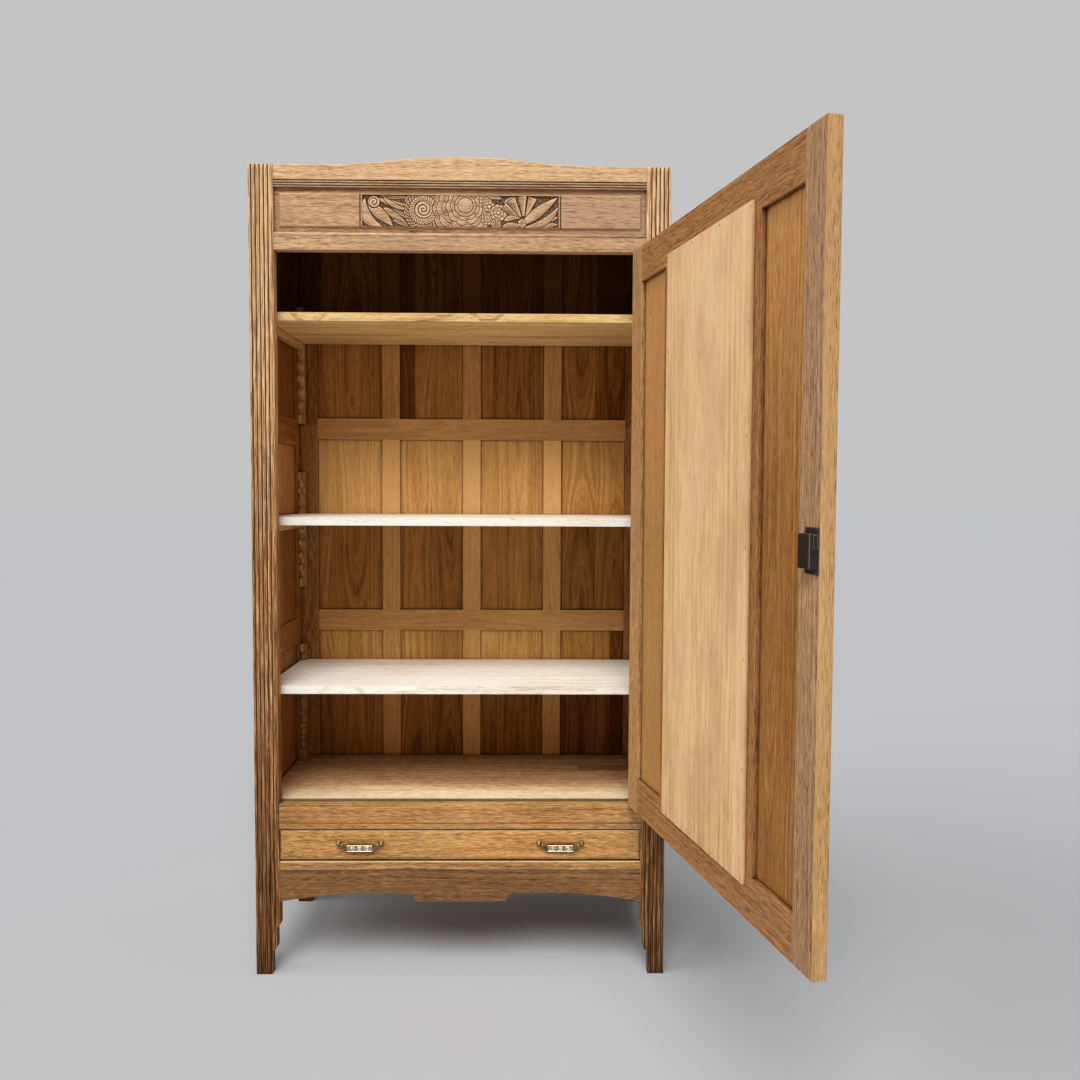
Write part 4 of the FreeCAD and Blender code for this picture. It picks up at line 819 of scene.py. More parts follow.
@dataclass(frozen=True)
class Metal:
    """An old metal: clouds of tarnish, painted shade with soiling in its recesses, bright abraded edges that
    are partly a painted highlight, fine scratches.
    """

    CAST_LOW: ClassVar[Span] = (0.50, 0.22, 0.95)
    CAST_HIGH: ClassVar[Span] = (0.55, 0.85, 0.9)
    CLOUD_RANGE: ClassVar[Place] = (0.35, 0.65)
    SHADE_AND_DIRT_OPENNESS: ClassVar[Place] = (1.0, 0.5)
    DIRT_SPECKLE: ClassVar[float] = 0.2
    DIRT_SHINE: ClassVar[float] = 0.3
    RUB_OPENNESS: ClassVar[Place] = (0.5, 0.9)
    CLEAN_SHINE: ClassVar[float] = 0.08
    CLOUD_SHINE: ClassVar[float] = 0.12
    PIT_HEIGHT: ClassVar[float] = 0.6
    BUMP: ClassVar[float] = 0.25
    BUMP_DEPTH: ClassVar[float] = 0.0001

    name: str
    bright: Rgb
    tarnish: Rgb
    # The dark colour of painted shade with soiling in recesses.
    shade_and_dirt: Rgb
    clouds: float = 0.6
    rough: float = 0.35
    edge: float = 0.7
    reach: float = 0.003
    metallic: float = 1.0
    embossed: bool = False
    # Colour of abraded edges, partly a painted highlight.
    rubbed_and_lit: Optional[Rgb] = None
    rim: float = 0.0004

    def build(self) -> bpy.types.Material:
        """Draws the metal's nodes.

        Returns:
            The finished material.
        """
        sheet = Sheet(self.name)
        at = sheet.add("TexCoord").outputs["Object"]
        cloud = TARNISH.draw(sheet, at)
        fine = PITS.draw(sheet, at)
        scratch = SCRATCHES.draw(sheet, at, Grain.UPRIGHT)
        colour = sheet.blend("MIX", sheet.spread(cloud, *self.CLOUD_RANGE, 0.0, self.clouds),
                             linear(self.bright), linear(self.tarnish))
        # Painted shade with soiling: darker where ambient occlusion finds the piece's own walls near.
        open_air = sheet.shelter(self.reach, True)
        speckled = sheet.math("ADD", open_air, sheet.product(fine, self.DIRT_SPECKLE))
        shade_and_dirt = sheet.spread(speckled, *self.SHADE_AND_DIRT_OPENNESS)
        colour = sheet.blend("MIX", shade_and_dirt, colour, linear(self.shade_and_dirt))
        # Embossing: painted shade with soiling in its hollows, painted highlights on its ridges.
        if self.embossed:
            colour = sheet.relieved(colour, self.shade_and_dirt, self.bright, self.CAST_LOW, self.CAST_HIGH)
        # Abraded edges: partly real abrasion and partly a painted highlight.
        normal, edge = sheet.edges(self.rim)
        rub_and_light = sheet.product(edge, sheet.spread(open_air, *self.RUB_OPENNESS), self.edge)
        colour = sheet.blend("MIX", rub_and_light, colour, linear(self.rubbed_and_lit or self.bright))
        shiny, dull = self.rough - self.CLEAN_SHINE, self.rough + self.CLOUD_SHINE
        rough = sheet.math("ADD", sheet.spread(cloud, *NOISE_RANGE, shiny, dull),
                           sheet.product(shade_and_dirt, self.DIRT_SHINE))
        height = sheet.math("ADD", sheet.product(fine, self.PIT_HEIGHT), scratch)
        relief = sheet.bump(height, self.BUMP, self.BUMP_DEPTH, normal)
        return sheet.close(colour, rough, relief, Metallic=self.metallic)


@dataclass(frozen=True)
class Silvering:
    """An old mirror: clear, slightly wavy glass over silver that has gone dark in spots."""

    name: str
    glass: Rgb = (214, 219, 217)
    spot: Rgb = (84, 80, 74)
    spots: float = 0.8
    haze: float = 0.10
    clean: float = 0.02
    spotted: float = 0.35
    waves: float = 0.05
    wave_depth: float = 0.001

    def build(self) -> bpy.types.Material:
        """Draws the mirror's nodes.

        Returns:
            The finished material.
        """
        sheet = Sheet(self.name)
        at = sheet.add("TexCoord").outputs["Object"]
        spots = SPOTS.show(sheet, at, self.spots)
        shade = sheet.math("MAXIMUM", spots, HAZE.show(sheet, at, self.haze))
        colour = sheet.blend("MIX", shade, linear(self.glass), linear(self.spot))
        rough = sheet.math("ADD", sheet.product(spots, self.spotted), self.clean)
        wavy = sheet.bump(WAVES.draw(sheet, at), self.waves, self.wave_depth)
        return sheet.close(colour, rough, wavy, Metallic=1.0)


def like(finish: object, name: str, **changes: object) -> object:
    """The same finish under another name, with some changes."""
    return replace(finish, name=name, **changes)


def dress(nodes: Nodes, finish: object, *names: str) -> None:
    """Puts one finish on CAD nodes, in every slot of each object."""
    material = finish.build()
    for name in names:
        piece = nodes[name]
        if not piece.material_slots:
            piece.data.materials.append(material)
        for slot in piece.material_slots:
            slot.link = "OBJECT"
            slot.material = material
    LOG.info("%s dresses %s", finish.name, ", ".join(names))


class Relief:
    """Heights of a carved or cast field, in mm, over points u across and v up; motifs overlap in turn."""

    LEAF_SAMPLES = 60
    LEAF_VEINS = 42
    GROOVE_DEPTH = 0.7
    GROOVE_WIDTH = 0.8

    def __init__(self, u: np.ndarray, v: np.ndarray, ground: np.ndarray) -> None:
        """Starts the field with its ground.

        Args:
            u: distance across of each point, in mm.
            v: distance up of each point, in mm.
            ground: height of each point before any motif.
        """
        self.u, self.v, self.height = u, v, ground

    def lay(self, depth: np.ndarray, surface: np.ndarray, cut: float) -> None:
        """Lays a motif over the field, with a sharp cut round its outline.

        Inside, the height is the surface times 1 - (1 - d / cut)^2, where d is the distance from
        the outline; outside, what lies below drops to nothing at the outline in the same way.

        Args:
            depth: distance from the outline in mm, positive inside.
            surface: the motif's own height.
            cut: width of the cut on each side of the outline, in mm.
        """
        rise = 1 - (1 - np.clip(depth / cut, 0, 1)) ** 2
        fall = 1 - (1 - np.clip(-depth / cut, 0, 1)) ** 2
        self.height = np.where(depth > 0, surface * rise, self.height * fall)

    def polar(self, centre: Place) -> tuple[np.ndarray, np.ndarray]:
        """Distance in mm and angle in radians of each point round a centre."""
        du, dv = self.u - centre[0], self.v - centre[1]
        return np.hypot(du, dv), np.arctan2(dv, du)

    def dome(self, centre: Place, radius: float, top: float, cut: float) -> None:
        """A round boss: height falls from the top by a quarter with the square of the distance."""
        r, _ = self.polar(centre)
        self.lay(radius - r, top * (1 - 0.25 * (r / radius) ** 2), cut)

    def scallop(self, centre: Place, radius: float, lobes: int, top: float, cut: float) -> None:
        """A ring of petals: the outline swells with the sine of the angle, and each petal is crowned."""
        r, a = self.polar(centre)
        petal = np.abs(np.sin(a * lobes / 2))
        edge = radius * (0.93 + 0.07 * petal)
        self.lay(edge - r, top * (0.62 + 0.38 * petal ** 0.6) * (0.75 + 0.25 * r / radius), cut)

    def spiral(self, centre: Place, radius: float, turns: float, top: float, cut: float,
               hand: int = 1) -> None:
        """A coil: a ridge whose distance from the centre grows evenly with the angle."""
        r, a = self.polar(centre)
        phase = r * turns / radius - hand * a / (2 * np.pi)
        ridge = np.abs(np.sin(np.pi * phase)) ** 0.6
        self.lay(radius - r, top * (0.30 + 0.70 * ridge), cut)

    def ribs(self, centre: Place, radius: float, count: int, top: float, cut: float,
             twist: float = 0.02) -> None:
        """A disc of ribs that radiate from the centre and curl a little as they go out."""
        r, a = self.polar(centre)
        rib = np.abs(np.sin((a + twist * r) * count / 2)) ** 0.7
        self.lay(radius - r, top * (0.45 + 0.55 * rib), cut)

    def leaf(self, line: list[Place], width: float, top: float, cut: float, skew: float = 0.8,
             vein: float = 0.0) -> None:
        """A leaf or blade along a bent line.

        The line is a quadratic curve from its start to its end, drawn towards a control point. At
        the share t of its length the half width is the width times sin(pi t^skew)^0.8. The height
        falls by 0.42 of the top, times the distance from the line over the half width to the power
        1.5, and a fine groove follows the line.

        Args:
            line: start, control and end points in mm.
            width: the half width at its widest, in mm.
            top: height of the midrib.
            cut: width of the outline cut.
            skew: below 1 moves the widest place towards the start.
            vein: depth of the side veins.
        """
        t = np.linspace(0, 1, self.LEAF_SAMPLES)[:, None, None]
        (a, b), (c, d), (e, f) = line
        pu = (1 - t) ** 2 * a + 2 * t * (1 - t) * c + t ** 2 * e
        pv = (1 - t) ** 2 * b + 2 * t * (1 - t) * d + t ** 2 * f
        gap = np.hypot(self.u - pu, self.v - pv)
        nearest = gap.argmin(0)
        distance = gap.min(0)
        share = t[nearest, 0, 0]
        half = width * np.sin(np.pi * np.clip(share, 0.001, 0.999) ** skew) ** 0.8
        fall = np.clip(distance / np.maximum(half, 0.1), 0, 1)
        groove = self.GROOVE_DEPTH * np.exp(-(distance / self.GROOVE_WIDTH) ** 2)
        surface = top * (1 - 0.42 * fall ** 1.5) - groove
        surface -= vein * np.abs(np.sin(share * self.LEAF_VEINS - fall * 5)) * np.clip(fall * 2, 0, 1)
        self.lay(half - distance, surface, cut)

    def wedge(self, apex: Place, angles: Place, radii: Place, heights: Place, cut: float) -> None:
        """A facet of a fan: between two angles and two radii, it slopes evenly from one side to the other."""
        r, a = self.polar(apex)
        low, high = np.radians(angles)
        across = (a - low) / (high - low)
        beside = np.minimum((a - low) * r, (high - a) * r)
        depth = np.minimum(beside, np.minimum(radii[1] - r, r - radii[0]))
        self.lay(depth, heights[0] + (heights[1] - heights[0]) * np.clip(across, 0, 1), cut)


def made(name: str, points: np.ndarray, faces: list[list[int]], smooth: np.ndarray) -> bpy.types.Object:
    """Makes an object of points in metres and faces, and links it to the scene.

    Args:
        name: the object's name.
        points: one row of X, Y and Z for each point.
        faces: the points of each face, counter-clockwise as seen from outside.
        smooth: whether each face is shaded smooth.

    Returns:
        The new object.
    """
    mesh = bpy.data.meshes.new(name)
    mesh.from_pydata(points.tolist(), [], faces)
    mesh.polygons.foreach_set("use_smooth", smooth)
    piece = bpy.data.objects.new(name, mesh)
    bpy.context.scene.collection.objects.link(piece)
    return piece


def shell(name: str, x: np.ndarray, z: np.ndarray, front: np.ndarray, back: float,
          relief: np.ndarray) -> bpy.types.Object:
    """A closed plate whose front is a grid of points and whose back is flat.

    The front's border is carried straight back to the plane y = back, and one face closes it. Rows of
    the grid go up and columns go right, so that the front's faces look towards -Y.

    Args:
        name: the object's name.
        x: place across of each grid point, in metres.
        z: height of each grid point.
        front: y of each grid point.
        back: y of the flat back.
        relief: a number for each grid point, kept in the attribute "relief" for the finish.

    Returns:
        The new object.
    """
    rows, columns = x.shape
    index = np.arange(rows * columns).reshape(rows, columns)
    quads = np.stack([index[:-1, :-1], index[:-1, 1:], index[1:, 1:], index[1:, :-1]], -1).reshape(-1, 4)
    border = np.concatenate([index[0, :-1], index[:-1, -1], index[-1, :0:-1], index[:0:-1, 0]])
    grid = np.stack([x, front, z], -1).reshape(-1, 3)
    ring = grid[border].copy()
    ring[:, 1] = back
    behind = np.arange(len(border)) + rows * columns
    skirt = np.stack([np.roll(border, -1), border, behind, np.roll(behind, -1)], -1)
    faces = quads.tolist() + skirt.tolist() + [behind[::-1].tolist()]
    smooth = np.ones(len(faces), bool)
    smooth[-1] = False
    piece = made(name, np.concatenate([grid, ring]), faces, smooth)
    layer = piece.data.attributes.new("relief", "FLOAT", "POINT")
    heights = np.concatenate([relief.ravel(), relief.ravel()[border]])
    layer.data.foreach_set("value", heights.astype(np.float32))
    return piece


def turned(name: str, profile: np.ndarray, places: list[Place], base: float) -> bpy.types.Object:
    """Copies of one shape turned on a lathe, each round an axis that points to the front.

    At the distance d in front of the base, the surface is a circle of the profile's radius. The
    profile starts and ends with the radius 0, so that both ends are closed.

    Args:
        name: the object's name.
        profile: rows of distance in front of the base and radius, in mm.
        places: X and Z of each copy's axis, in mm.
        base: Y of the base, in mm.

    Returns:
        The new object.
    """
    angle = np.linspace(0, 2 * np.pi, LATHE_STEPS, endpoint=False)
    rings = profile[1:-1]
    x = rings[:, 1:] * np.cos(angle)
    z = rings[:, 1:] * np.sin(angle)
    y = np.broadcast_to(base - rings[:, :1], x.shape)
    points = np.concatenate([np.stack([x, y, z], -1).reshape(-1, 3),
                             [[0, base - profile[0, 0], 0], [0, base - profile[-1, 0], 0]]])
    index = np.arange(len(rings) * LATHE_STEPS).reshape(len(rings), LATHE_STEPS)
    ahead = np.roll(index, -1, 1)
    quads = np.stack([index[:-1], ahead[:-1], ahead[1:], index[1:]], -1).reshape(-1, 4).tolist()
    first, last = len(points) - 2, len(points) - 1
    caps = [[first, b, a] for a, b in zip(index[0].tolist(), ahead[0].tolist())]
    caps += [[last, a, b] for a, b in zip(index[-1].tolist(), ahead[-1].tolist())]
    faces, shapes = [], []
    for number, (right, up) in enumerate(places):
        shapes.append(points + [right, 0, up])
        faces += [[corner + number * len(points) for corner in face] for face in quads + caps]
    return made(name, np.concatenate(shapes) * MM, faces, np.ones(len(faces), bool))


def attach(piece: bpy.types.Object, finish: object, body: str) -> None:
    """Gives a new piece its finish, body and slot."""
    piece.data.materials.append(finish.build())
    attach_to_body(piece, body)
    LOG.info("%s rides on %s", piece.name, body)


def soften(height: np.ndarray, times: int) -> np.ndarray:
    """Averages each point with its four neighbours, a number of times."""
    for _ in range(times):
        padded = np.pad(height, 1, mode="edge")
        height = (padded[1:-1, 1:-1] * 4 + padded[:-2, 1:-1] + padded[2:, 1:-1]
                  + padded[1:-1, :-2] + padded[1:-1, 2:]) / 8
    return height


OAK = Wood("oak_post", pale=(232, 188, 142), middle=(168, 120, 76), dark=(86, 52, 26))
OPEN_DOOR = {"turn": 103.4, "hinge": (0.44075, -0.233)}


@dataclass
class Frieze:
    """The crown of the cabinet, in mm: arched rail, carved panel and the rail below it."""

    half_width: float = 233.0
    low: float = 1813.0
    high: float = 1887.0
    ground: float = -215.5
    depth: float = 3.7
    step: float = 0.8
    bead_half: float = 440.4
    bead_low: float = 1789.5
    bead_high: float = 1796.9
    rail_face: float = -223.5
    bead_swell: float = 1.3
    full: float = 4.0

    def carving(self) -> bpy.types.Object:
        """Works out the carved field from overlapping motifs.

        The ground and the chisel's marks are products of two bent sines. For the finish, each
        point has a value of light and abrasion: a middle value plus shares of its rise over the mean of
        its wide and near surroundings and of its height, so that hollows get painted shade over old
        polish and ridges get painted highlights over abrasion.

        Returns:
            The carving as a closed plate that sinks into the panel's ground.
        """
        wide, tall = self.half_width, self.high - self.low
        u, v = np.meshgrid(np.linspace(HAIR - wide, wide - HAIR, int(2 * wide / self.step)),
                           np.linspace(HAIR, tall - HAIR, int(tall / self.step)))
        wavy_up = np.sin(v * 1.0 + 2.2 * np.sin(u * 0.4))
        field = Relief(u, v, 0.7 + 0.5 * np.sin(u * 1.1 + 2.0 * np.sin(v * 0.5)) * wavy_up)
        self.left_leaves(field)
        self.coils(field)
        self.right_fan(field)
        chisel = 0.5 * np.sin(u * 2.1 + 3.0 * np.sin(v * 0.37)) * np.sin(v * 1.7 + 2.6 * np.sin(u * 0.31))
        height = soften(field.height + chisel * np.clip(field.height, 0, 1), 1)
        # Painted shade in the hollows and painted highlights on the ridges, with old polish and abrasion.
        wear = (0.48 + 0.42 * (height - soften(height, 14)) + 0.35 * (height - soften(height, 3))
                + 0.10 * (height - 2.2))
        y = (self.ground - HAIR - self.depth * np.clip(height / self.full, 0, 1)) * MM
        back = (self.ground + SUNK) * MM
        return shell("frieze_carving", u * MM, (v + self.low) * MM, y, back, np.clip(wear, 0, 1))

    def left_leaves(self, field: Relief) -> None:
        """A volute with broad leaves that sweep down to the right, and sharp leaves above them."""
        field.leaf([(-190, 72), (-160, 66), (-112, 70)], 5, 2.2, 1.2)
        field.leaf([(-196, 66), (-160, 50), (-112, 50)], 7, 3.0, 1.2, vein=0.6)
        field.leaf([(-182, 68), (-158, 44), (-124, 40)], 6, 3.4, 1.2)
        field.leaf([(-166, 40), (-140, 32), (-116, 14)], 7, 2.8, 1.2, vein=0.6)
        field.leaf([(-182, 44), (-158, 30), (-122, 1)], 8, 3.2, 1.2)
        field.leaf([(-160, 16), (-142, 10), (-124, 0)], 5, 2.4, 1.2)
        field.leaf([(-218, 50), (-190, 34), (-160, 0)], 13, 3.7, 1.4, skew=0.85)
        field.leaf([(-226, 66), (-240, 12), (-184, 0)], 13, 4.0, 1.4, skew=0.95)
        field.spiral((-205, 57), 14, 1.9, 4.0, 1.4)

    def coils(self, field: Relief) -> None:
        """A ribbed coil, then rings of petals round a plain boss, with small blossoms beside them."""
        field.leaf([(-130, 56), (-124, 76), (-96, 73)], 6, 2.6, 1.2)
        field.leaf([(-58, 73), (-44, 76), (-40, 56)], 6, 2.4, 1.2)
        field.ribs((-88, 36), 46, 30, 2.6, 1.4)
        field.ribs((-88, 39), 34, 30, 3.5, 1.4, twist=-0.02)
        field.spiral((-88, 41), 21, 2.6, 4.0, 1.4)
        for radius, lobes, top in ((72, 13, 2.9), (63, 11, 3.5), (53, 11, 3.0), (44, 9, 3.7), (35, 9, 3.2)):
            shift = (radius - 35) * 0.16
            field.scallop((11 - shift, 50 - shift * 1.4), radius, lobes, top, 1.5)
        field.dome((11.5, 50), 26, 3.3, 1.4)
        field.dome((12, 51), 18, 4.0, 1.6)
        field.scallop((56, 64), 12, 6, 3.2, 1.3)
        field.scallop((68, 48), 13, 7, 3.6, 1.3)
        field.dome((68, 48), 5, 4.0, 1.2)
        field.leaf([(60, 73), (80, 74), (98, 66)], 7, 3.0, 1.2)
        field.scallop((64, 20), 15, 8, 3.2, 1.3)
        field.spiral((64, 21), 9, 1.8, 3.8, 1.2)
        field.scallop((90, 34), 20, 9, 3.5, 1.4)
        field.scallop((90, 34), 12, 7, 3.8, 1.3)
        field.dome((90, 34), 5, 4.0, 1.2)
        field.scallop((84, 8), 12, 7, 3.0, 1.2)

    def right_fan(self, field: Relief) -> None:
        """Sloping facets of a fan, then two long blades that rise to the corner."""
        field.leaf([(104, 56), (116, 66), (134, 70)], 6, 2.8, 1.2)
        apex = (150, 12)
        for start, heights in ((132, (3.4, 1.4)), (110, (3.8, 1.8)), (84, (4.0, 1.6)), (60, (4.0, 1.8))):
            field.wedge(apex, (start, start + 20), (15, 62), heights, 1.4)
        field.leaf([(196, 0), (212, 8), (232, 8)], 7, 3.0, 1.2, vein=0.6)
        field.leaf([(206, 14), (218, 24), (232, 24)], 6, 3.2, 1.2, vein=0.6)
        field.leaf([(104, 16), (118, 26), (142, 22)], 7, 3.4, 1.3, vein=0.4)
        field.leaf([(100, 2), (122, 10), (146, 2)], 7, 3.0, 1.2)
        field.leaf([(150, 1), (206, 2), (232, 50)], 9, 3.4, 1.4, skew=1.0)
        field.leaf([(144, 6), (180, 34), (232, 72)], 12, 4.0, 1.6, skew=0.9)
        field.scallop((146, 10), 10, 6, 3.6, 1.3)

    def bead(self) -> bpy.types.Object:
        """A low half-round on top of the lower rail: its swell follows a half circle from edge to edge."""
        share = np.linspace(0, 1, 15)[:, None]
        across = np.linspace(-self.bead_half, self.bead_half, 3)[None, :]
        swell = self.bead_swell * np.sqrt(np.clip(1 - (2 * share - 1) ** 2, 0, 1)) + 0 * across
        x, z = np.broadcast_arrays(across, self.bead_low + (self.bead_high - self.bead_low) * share)
        y = (self.rail_face - HAIR - swell) * MM
        return shell("frieze_bead", x * MM, z * MM, y, (self.rail_face + SUNK) * MM, swell / self.bead_swell)

    def dress(self, nodes: Nodes) -> None:
        """Finishes the crown's nodes, and lays the carving in the panel and the bead under it."""
        # Crown rail: painted shade in the moulding's grooves and on its band, and wide abraded edges that
        # paint a highlight along the arch.
        crown = like(OAK, "oak_crown", grain=Grain.ACROSS, pale=(255, 226, 184), middle=(228, 180, 131),
                     dark=(146, 98, 56), ring=0.008, pith=(0.20, -0.185, 1.92), silver=0.08, edge=0.005,
                     wear=0.85, worn=(255, 226, 182), soot=(60, 34, 12),
                     hollows=(Hollow(Grain.BACKWARD, -0.2233, -0.2200, 0.95, Grain.UPRIGHT, 1.904, 1.9205),),
                     patches=(Patch((-0.45, -0.23, 1.9030), (0.45, -0.19, 1.9205), -0.3),))
        # Frieze panel: painted shade on its recessed border and in the lines beside the carved field.
        panel = like(crown, "oak_frieze", pale=(243, 202, 158), middle=(203, 157, 113), dark=(108, 72, 46),
                     figure=0.35, pith=(0.0, -0.16, 1.80), silver=0.30, edge=0.002, grey=(166, 134, 112),
                     wear=0.8, worn=(250, 216, 176), grime=0.55,
                     stains=(Stain((0.22, -0.3, 1.7), (0.5, -0.1, 1.9), (196, 160, 134), 0.40),),
                     patches=(Patch((-0.45, -0.2165, 1.79), (0.45, -0.213, 1.905), -0.12),),
                     hollows=(Hollow(Grain.BACKWARD, -0.2188, -0.2170, 0.9, Grain.ACROSS, 0.2355, 0.2395),))
        plain = {"patches": (), "hollows": (), "stains": ()}
        # Lower rail: edges abraded at full share, partly a painted highlight.
        rail = like(panel, "oak_frieze_rail", middle=(209, 164, 120), pith=(0.0, -0.19, 1.75), wear=1.0,
                    **plain)
        dress(nodes, crown, "top_rail")
        dress(nodes, panel, "frieze_panel")
        dress(nodes, rail, "frieze_lower_rail")
        # The bead is a paler copy of the rail's wood: a painted highlight.
        bead = like(rail, "oak_bead", pale=(255, 226, 186), middle=(228, 182, 136))
        attach(self.bead(), bead, "cabinet")
        # Carving's finish: painted shade with old polish in its hollows, painted highlights with abrasion on
        # its ridges.
        carved = like(panel, "oak_carved", pale=(244, 204, 158), middle=(210, 166, 124), dark=(106, 68, 40),
                      soot=(44, 22, 6), silver=0.45, grey=(168, 132, 104), fibre=2.4, wear=0.5, carved=True,
                      grime_reach=0.004, local=True, **plain)
        attach(self.carving(), carved, "cabinet")


@dataclass
class Carcass:
    """Posts, rails, sides, back, floor board and shelves, in metres."""

    # Painted light and shade on the back panels, partly also the tone of single boards.
    # Each row: heights of the lower and upper edge, tone, and the left and right edge if narrower.
    PANEL_SHADES: ClassVar[tuple[tuple[float, ...], ...]] = (
        (1.36, 1.97, -0.22), (1.61, 1.97, -0.20), (1.36, 1.95, -0.38, -0.206, -0.160),
        (1.36, 1.95, -0.14, 0.060, 0.205), (1.36, 1.95, -0.20, 0.350, 0.445), (1.10, 1.36, 0.20),
        (0.70, 0.80, 0.10), (0.30, 0.69, -0.24), (0.82, 1.10, -0.16), (1.10, 1.36, 0.16, -0.45, -0.25),
        (0.30, 1.36, -0.14, 0.25, 0.45), (0.30, 1.10, -0.12, -0.205, -0.024),
        (0.69, 0.82, 0.15, 0.024, 0.205), (1.10, 1.36, 0.06, 0.024, 0.205), (0.40, 0.82, -0.35, 0.395, 0.490))

    column_pitch: float = 0.228
    row_pitch: float = 0.54
    row_start: float = 0.28
    half_back: float = 0.49
    back_inner: Place = (0.190, 0.2105)
    side_inner: float = 0.4925
    side_pitch: float = 0.96
    half_opening: float = 0.4405

    def dress_outside(self, nodes: Nodes) -> None:
        """Finishes what the front shows, and the rear posts."""
        # Front posts: painted shade in the reeds over old polish; painted light paler upwards, painted shade
        # at the feet, a painted highlight along the tops.
        reeds = Hollow(Grain.BACKWARD, -0.2242, -0.2220, 0.97, Grain.ACROSS, 0.4505, 0.4955)
        post = replace(OAK, pale=(255, 210, 154), middle=(162, 106, 54), dark=(42, 19, 3), streak=1.0,
                       fibre=2.6, stretch=0.35, tone=0.25, drift=0.2, silver=0.05, wear=0.9,
                       worn=(244, 200, 152), soot=(42, 22, 8), pith=(0.05, -0.20, 0.0),
                       boards=split(across=(0.9415, 0.0)),
                       fades=(Fade(Grain.UPRIGHT, 0.25, 1.80, 0.56), Fade(Grain.UPRIGHT, 0.12, 0.0, -0.15),
                              Fade(Grain.UPRIGHT, 1.945, 1.955, 0.3)), hollows=(reeds,))
        dress(nodes, post, "left_front_post", "right_front_post")
        # Rear posts: painted shade in the top compartments, and on the feet so that they sink into the
        # floor's shadow.
        rear = like(post, "oak_rear_post", pale=(206, 150, 94), middle=(138, 88, 42), dark=(70, 36, 10),
                    streak=0.6, fibre=1.4, tone=0.62, hollows=(), stretch=1.0,
                    patches=(self.shade(1.37, 1.97, -0.15), self.shade(1.61, 1.97, -0.4)),
                    fades=(Fade(Grain.UPRIGHT, 0.26, 0.20, -0.6),))
        dress(nodes, rear, "left_rear_post", "right_rear_post")
        # Painted highlight along the top bevel of the rail under the drawer, partly abrasion.
        rubbed_and_lit = Stain((-self.half_opening, -0.226, 0.2795), (self.half_opening, -0.20, 0.2825),
                       (255, 222, 168), 0.7)
        front = like(OAK, "oak_front", grain=Grain.ACROSS, pale=(250, 198, 132), middle=(184, 132, 78),
                     dark=(96, 56, 22), pith=(0.1, -0.18, 0.35), wear=1.0, edge=0.0022, worn=(252, 216, 164),
                     drift=0.8, fibre=1.8, streak=0.4, stains=(rubbed_and_lit,),
                     # Painted shade in the dark lines above and below the drawer.
                     hollows=tuple(Hollow(Grain.BACKWARD, -0.2238, -0.2200, 0.9, Grain.UPRIGHT,
                                          low - 0.0006, low + 0.0020) for low in (0.3763, 0.3608, 0.2597)))
        dress(nodes, front, "front_rail", "upper_drawer_rail", "lower_drawer_rail")
        apron = like(front, "oak_apron", pale=(192, 142, 94), middle=(136, 96, 58), dark=(70, 42, 20),
                     silver=0.25, grey=(124, 96, 70), wear=0.4, stains=())
        dress(nodes, apron, "apron")

    def shade(self, low: float, high: float, tone: float, left: Optional[float] = None,
              right: Optional[float] = None) -> Patch:
        """Painted light and shade on the inner face of the back only.

        Args:
            low: height of its lower edge, in metres.
            high: height of its upper edge.
            tone: how much paler it is, or darker if below 0.
            left: place of its left edge, if it isn't the back's own.
            right: place of its right edge, if it isn't the back's own.

        Returns:
            The patch.
        """
        start, end = self.back_inner
        return Patch((-self.half_back if left is None else left, start, low),
                     (self.half_back if right is None else right, end, high), tone)

    def side_light_and_shade(self, low: float, high: float, tone: float) -> Patch:
        """Painted light and shade on the inner faces of both sides, between two heights."""
        return Patch((-self.side_inner, -0.3, low), (self.side_inner, 0.3, high), tone)

    def dress_inside(self, nodes: Nodes) -> None:
        """Finishes the sides, the back, the floor board and the boards that nobody sees."""
        upright = like(OAK, "side_stiles", pale=(206, 150, 94), middle=(150, 96, 46), dark=(84, 44, 12),
                       boards=split(across=(self.side_pitch, 0.0)), pith=(0.03, 0.12, 0.0), streak=0.6,
                       # Painted shade under the top shelf and in the top compartment.
                       fibre=1.4, patches=(self.side_light_and_shade(1.606, 1.97, -0.4), self.side_light_and_shade(1.36, 1.606, -0.1)))
        dress(nodes, upright, "left_side_stiles", "right_side_stiles")
        dress(nodes, like(upright, "side_rails", grain=Grain.BACKWARD), "left_side_rails", "right_side_rails")
        # Painted light low in the middle compartment.
        panels = like(upright, "side_panels", patches=upright.patches + (self.side_light_and_shade(1.10, 1.36, 0.35),),
                      boards=split(across=(self.side_pitch, 0.0), backward=(0.11, -0.21),
                                   upright=(self.row_pitch, self.row_start), tone=0.25))
        dress(nodes, panels, "left_side_panels", "right_side_panels")
        self.dress_back(nodes)
        # Floor board: painted shadow of the bottom shelf towards the back, painted light along the front, and
        # a patch of painted shade at the right.
        floor = like(OAK, "floor_board", grain=Grain.ACROSS, pale=(255, 240, 198), middle=(220, 174, 124),
                     dark=(134, 94, 62), wear=0.5, grime=0.4, worn=(255, 232, 190), pith=(0.0, 0.02, 0.385),
                     planks=split(backward=(0.121, -0.198), tone=0.25, joint=0.8),
                     fades=(Fade(Grain.BACKWARD, -0.12, -0.03, -0.30), Fade(Grain.BACKWARD, 0.02, 0.16, 0.04),
                            Fade(Grain.BACKWARD, -0.10, -0.16, 0.35)),
                     patches=(Patch((0.30, 0.045, 0.42), (0.60, 0.10, 0.44), -0.35),))
        dress(nodes, floor, "floor_board")
        hidden = like(upright, "hidden_boards", grain=Grain.ACROSS, wear=0.1, middle=(140, 92, 46),
                      patches=(), boards=split(backward=(0.135, -0.205), tone=0.25),
                      thickness=Grain.UPRIGHT, pith=(0.0, 0.0, 1.84))
        dress(nodes, hidden, "top_board", "board_bearers")

